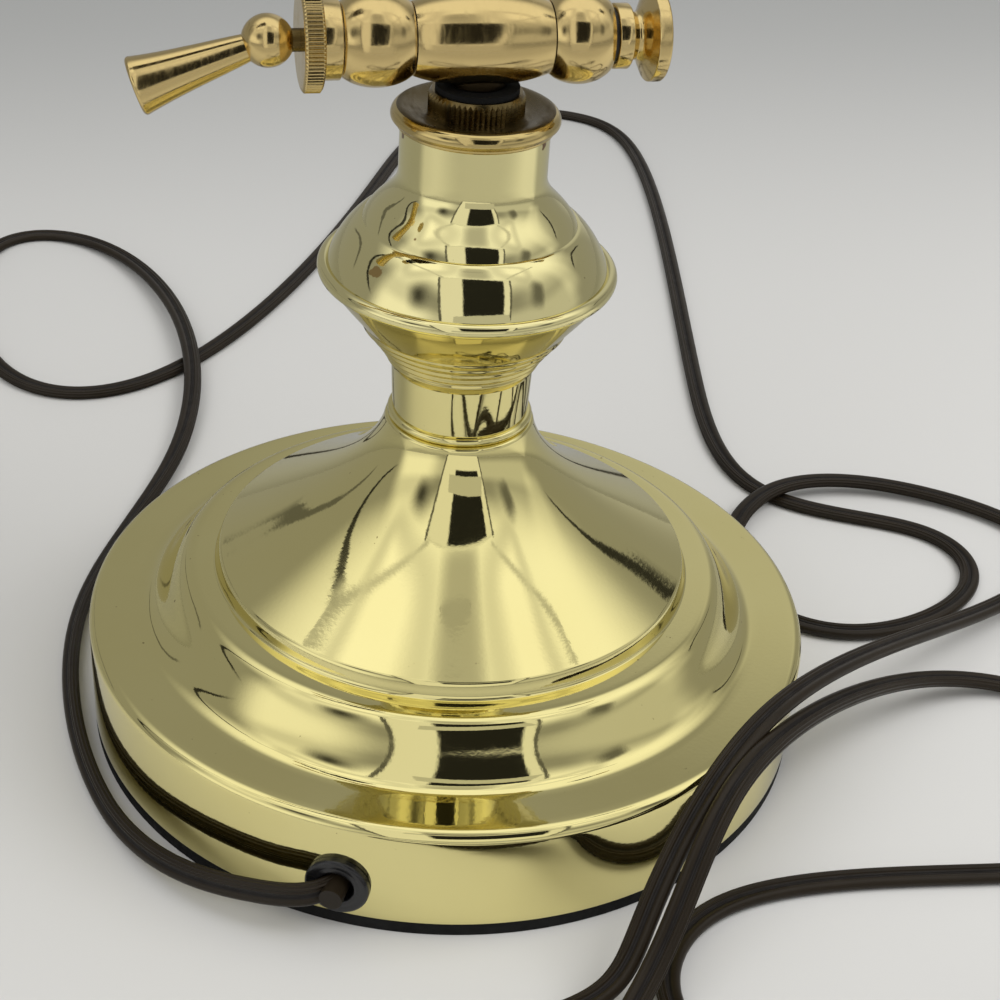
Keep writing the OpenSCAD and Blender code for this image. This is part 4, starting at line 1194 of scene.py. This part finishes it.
def make_light(name, at, target, size, energy):
    data = bpy.data.lights.new(name, "AREA")
    data.shape = "RECTANGLE"
    data.size, data.size_y = size
    data.energy = energy
    obj = bpy.data.objects.new(name, data)
    bpy.context.scene.collection.objects.link(obj)
    obj.location = at
    obj.rotation_mode = "QUATERNION"
    obj.rotation_quaternion = (Vector(target) - Vector(at)).to_track_quat("-Z", "Y")
    obj.visible_glossy = False


CAMERA_AT = Vector((-85.185, -364.651, 295.495)) * MM
CAMERA_RIGHT = Vector((0.973976, -0.218367, 0.060721))
CAMERA_DOWN = Vector((-0.067488, -0.535161, -0.842050))
CAMERA_FORWARD = Vector((0.216371, 0.816038, -0.535971))
CAMERA_LENS = 65.387


def make_camera():
    data = bpy.data.cameras.new("camera")
    data.sensor_width = 36
    data.lens = CAMERA_LENS
    data.clip_start = 0.01
    data.clip_end = 50
    obj = bpy.data.objects.new("camera", data)
    bpy.context.scene.collection.objects.link(obj)
    axes = (CAMERA_RIGHT, -CAMERA_DOWN, -CAMERA_FORWARD)
    turn = Matrix([[axis[k] for axis in axes] for k in range(3)])
    obj.matrix_world = Matrix.Translation(CAMERA_AT) @ turn.to_4x4()
    bpy.context.scene.camera = obj
    return obj


# Level seams of the tent: turn and height of the peak, bend, half width, half length and darkness
LEVEL_SEAMS = [
    (1.95, 0.455, 2.4, 0.017, 0.20, 0.9),
    (-2.42, 0.375, 1.9, 0.020, 0.28, 0.6),
]
# Upright seam: turn, half width, height and bend of its peak, lowest and highest point, darkness
UPRIGHT_SEAM = (-2.045, 0.027, 0.6, -2.75, (0.24, 0.81), 0.92)


def arched(value, along, peak, bend):
    """A value that is level along an arch: it grows with the square of the way from the peak."""
    away = math_node("SUBTRACT", along, peak)
    return sum_of(value, product(away, away, bend))


def make_world():
    """A pale tent: dim towards the horizon, bright overhead and on its left side, with dark seams."""
    world = bpy.data.worlds.new("tent")
    bpy.context.scene.world = world
    world.use_nodes = True
    tree = world.node_tree
    background = tree.nodes["Background"]
    place = node(tree, "ShaderNodeTexCoord").outputs["Generated"]
    parts = node(tree, "ShaderNodeSeparateXYZ", Vector=place)
    x, y, z = (parts.outputs[axis] for axis in "XYZ")
    roof = math_node("SUBTRACT", z, product(ramp(y, 0.3, 0.7), 0.12))
    overhead = product(ramp(roof, 0.52, 0.88), 0.78)
    left = product(ramp(x, -0.5, -0.8), ramp(y, 0.12, -0.12), ramp(z, 0.9, 0.6), 0.45)
    back_right = product(
        ramp(x, 0.0, 0.35), ramp(x, 0.75, 0.5), ramp(y, 0.2, 0.6), ramp(z, 0.66, 0.56), 0.22)
    right = product(ramp(x, 0.45, 0.75), ramp(y, 0.40, 0.15), ramp(z, 0.30, 0.62), 0.30)
    strip = product(ramp(x, 0.6, 0.85), soft_band(y, -0.16, 0.10, 0.08), ramp(z, 0.12, 0.32), 0.22)
    front = product(ramp(y, 0.06, -0.20), soft_band(z, 0.05, 0.38, 0.08), 0.27)
    level = sum_of(overhead, left, back_right, right, strip, front, TENT_LEVEL)
    turn = math_node("ARCTAN2", x, product(y, -1))
    ragged = remap(noise(place, 12, 2, 0.5), 0.3, 0.7, -0.008, 0.008)
    rough_turn = sum_of(turn, ragged)
    rough_z = sum_of(z, ragged)
    for peak, height, bend, half, reach, dark in LEVEL_SEAMS:
        line_at = arched(rough_z, turn, peak, bend)
        seam = product(
            soft_band(line_at, height - half, height + half, 0.006),
            soft_band(turn, peak - reach, peak + reach, 0.04), dark)
        level = product(level, math_node("SUBTRACT", 1, seam))
    seam_turn, half, peak, bend, (low_z, high_z), dark = UPRIGHT_SEAM
    line_at = arched(rough_turn, z, peak, bend)
    upright = product(
        soft_band(line_at, seam_turn - half, seam_turn + half, 0.01),
        soft_band(z, low_z, high_z, 0.04), dark)
    level = product(level, math_node("SUBTRACT", 1, upright))
    seen = node(tree, "ShaderNodeLightPath").outputs["Is Camera Ray"]
    plain_back = product(seen, BACKDROP)
    level = sum_of(product(level, math_node("SUBTRACT", 1, seen)), plain_back)
    fill(background, Color=(1.0, 0.995, 0.975, 1), Strength=level)


# What the brass mirrors at the camera: boxes in metres to its right and below it, a soft edge, a brightness
TENT_FRONT = [
    ((-0.40, -0.06), (-0.66, -0.33), 0.10, 1.18),
    ((0.20, 0.48), (-0.62, -0.32), 0.10, 1.15),
    ((-0.01, 0.14), (-0.48, -0.26), 0.055, 0.50),
    ((-0.13, 0.27), (-0.26, 0.30), 0.008, 0.85),
    ((-0.142, -0.128), (-0.27, 0.30), 0.003, 0.12),
    ((0.268, 0.282), (-0.27, 0.30), 0.003, 0.12),
    ((-0.34, -0.20), (-0.19, -0.03), 0.07, 0.06),
    ((0.51, 0.73), (-0.31, -0.06), 0.08, 0.15),
    ((-0.01, 0.225), (-0.25, 0.125), 0.006, 0.018),
]
# Round port of the tent: its middle and its half sizes on the card
TENT_PORT = ((0.05, -0.381), (0.058, 0.015))
PORT_BRIGHT = 0.43
PORT_RIM = 0.33
# Seams of the tent: from, to, half width, soft edge and brightness
TENT_SEAMS = [
    ((-0.11, -0.26), (-0.62, -0.83), 0.006, 0.016, 0.28),
    ((0.25, -0.28), (0.64, -0.72), 0.006, 0.016, 0.28),
]


def make_card(name, points):
    """A card of the stage that glossy rays alone see, and its empty node tree."""
    bm = bmesh.new()
    bm.faces.new([bm.verts.new(p) for p in points])
    card = mesh_object(name, bm)
    card.visible_camera = False
    card.visible_diffuse = False
    card.visible_shadow = False
    card.visible_transmission = False
    material = bpy.data.materials.new(name)
    material.use_nodes = True
    material.node_tree.nodes.clear()
    card.data.materials.append(material)
    return card, material.node_tree


def glow(tree, strength):
    """The tent's own light."""
    made = node(tree, "ShaderNodeEmission", Color=(1.0, 0.99, 0.97, 1), Strength=strength)
    return made.outputs["Emission"]


def make_tent_front(camera):
    """A card in the camera's plane: the tent's opening with its round port."""
    outline = ((-0.8, -0.32), (0.8, -0.32), (0.8, 1.0), (-0.8, 1.0))
    card, tree = make_card("tent_front", [(x, y, 0) for x, y in outline])
    card.matrix_world = camera.matrix_world
    parts = node(tree, "ShaderNodeSeparateXYZ", Vector=place_of(tree))
    across = parts.outputs["X"]
    below = product(parts.outputs["Y"], -1)
    level = 0
    cover = 0
    masks = []
    for (u0, u1), (v0, v1), soft, bright in TENT_FRONT:
        within = soft_band(across, u0, u1, soft)
        masks.append((product(within, soft_band(below, v0, v1, soft)), bright))
    for (u0, v0), (u1, v1), half, soft, bright in TENT_SEAMS:
        reach = math.hypot(u1 - u0, v1 - v0)
        du = (u1 - u0) / reach
        dv = (v1 - v0) / reach
        along = sum_of(product(across, du), product(below, dv), -u0 * du - v0 * dv)
        aside = sum_of(product(across, dv), product(below, -du), v0 * du - u0 * dv)
        within = soft_band(along, 0, reach, soft)
        masks.append((product(soft_band(aside, -half, half, soft), within), bright))
    (port_u, port_v), (half_u, half_v) = TENT_PORT
    port_across = math_node("DIVIDE", math_node("SUBTRACT", across, port_u), half_u)
    port_below = math_node("DIVIDE", math_node("SUBTRACT", below, port_v), half_v)
    away = sum_of(product(port_across, port_across), product(port_below, port_below))
    masks.append((soft_band(away, 0.92, 1.08, 0.04), PORT_RIM))
    masks.append((ramp(away, 0.98, 0.80), PORT_BRIGHT))
    for mask, bright in masks:
        kept = product(level, math_node("SUBTRACT", 1, mask))
        level = sum_of(kept, product(mask, bright))
        cover = math_node("MAXIMUM", cover, mask)
    clear = node(tree, "ShaderNodeBsdfTransparent").outputs["BSDF"]
    blend = node(tree, "ShaderNodeMixShader", Fac=cover)
    feed(blend.inputs[1], clear)
    feed(blend.inputs[2], glow(tree, level))
    node(tree, "ShaderNodeOutputMaterial", Surface=blend.outputs["Shader"])


GAP_BRIGHT = 0.55
GAP_X = (-0.058, 0.052)
GAP_Y = -0.15
GAP_Z = (0.127, 0.174)


def make_tent_gap():
    """A small card before the lamp: the bell mirrors it as the pale part of the opening."""
    (left, right), (low, high) = GAP_X, GAP_Z
    outline = ((left, low), (right, low), (right, high), (left, high))
    tree = make_card("tent_gap", [(x, GAP_Y, z) for x, z in outline])[1]
    node(tree, "ShaderNodeOutputMaterial", Surface=glow(tree, GAP_BRIGHT))


for piece in (shade, bulb, socket_shell, socket_cap, *arms):
    piece.visible_glossy = False
make_floor()
camera = make_camera()
make_world()
make_tent_front(camera)
make_tent_gap()
make_light("key", (0.7, -0.2, 0.9), (0, 0, 0.1), (0.7, 0.7), 6)
make_light("fill", (-0.6, -0.5, 0.8), (0, 0, 0.1), (0.6, 0.6), 2.5)
bpy.context.scene.view_settings.view_transform = "Standard"
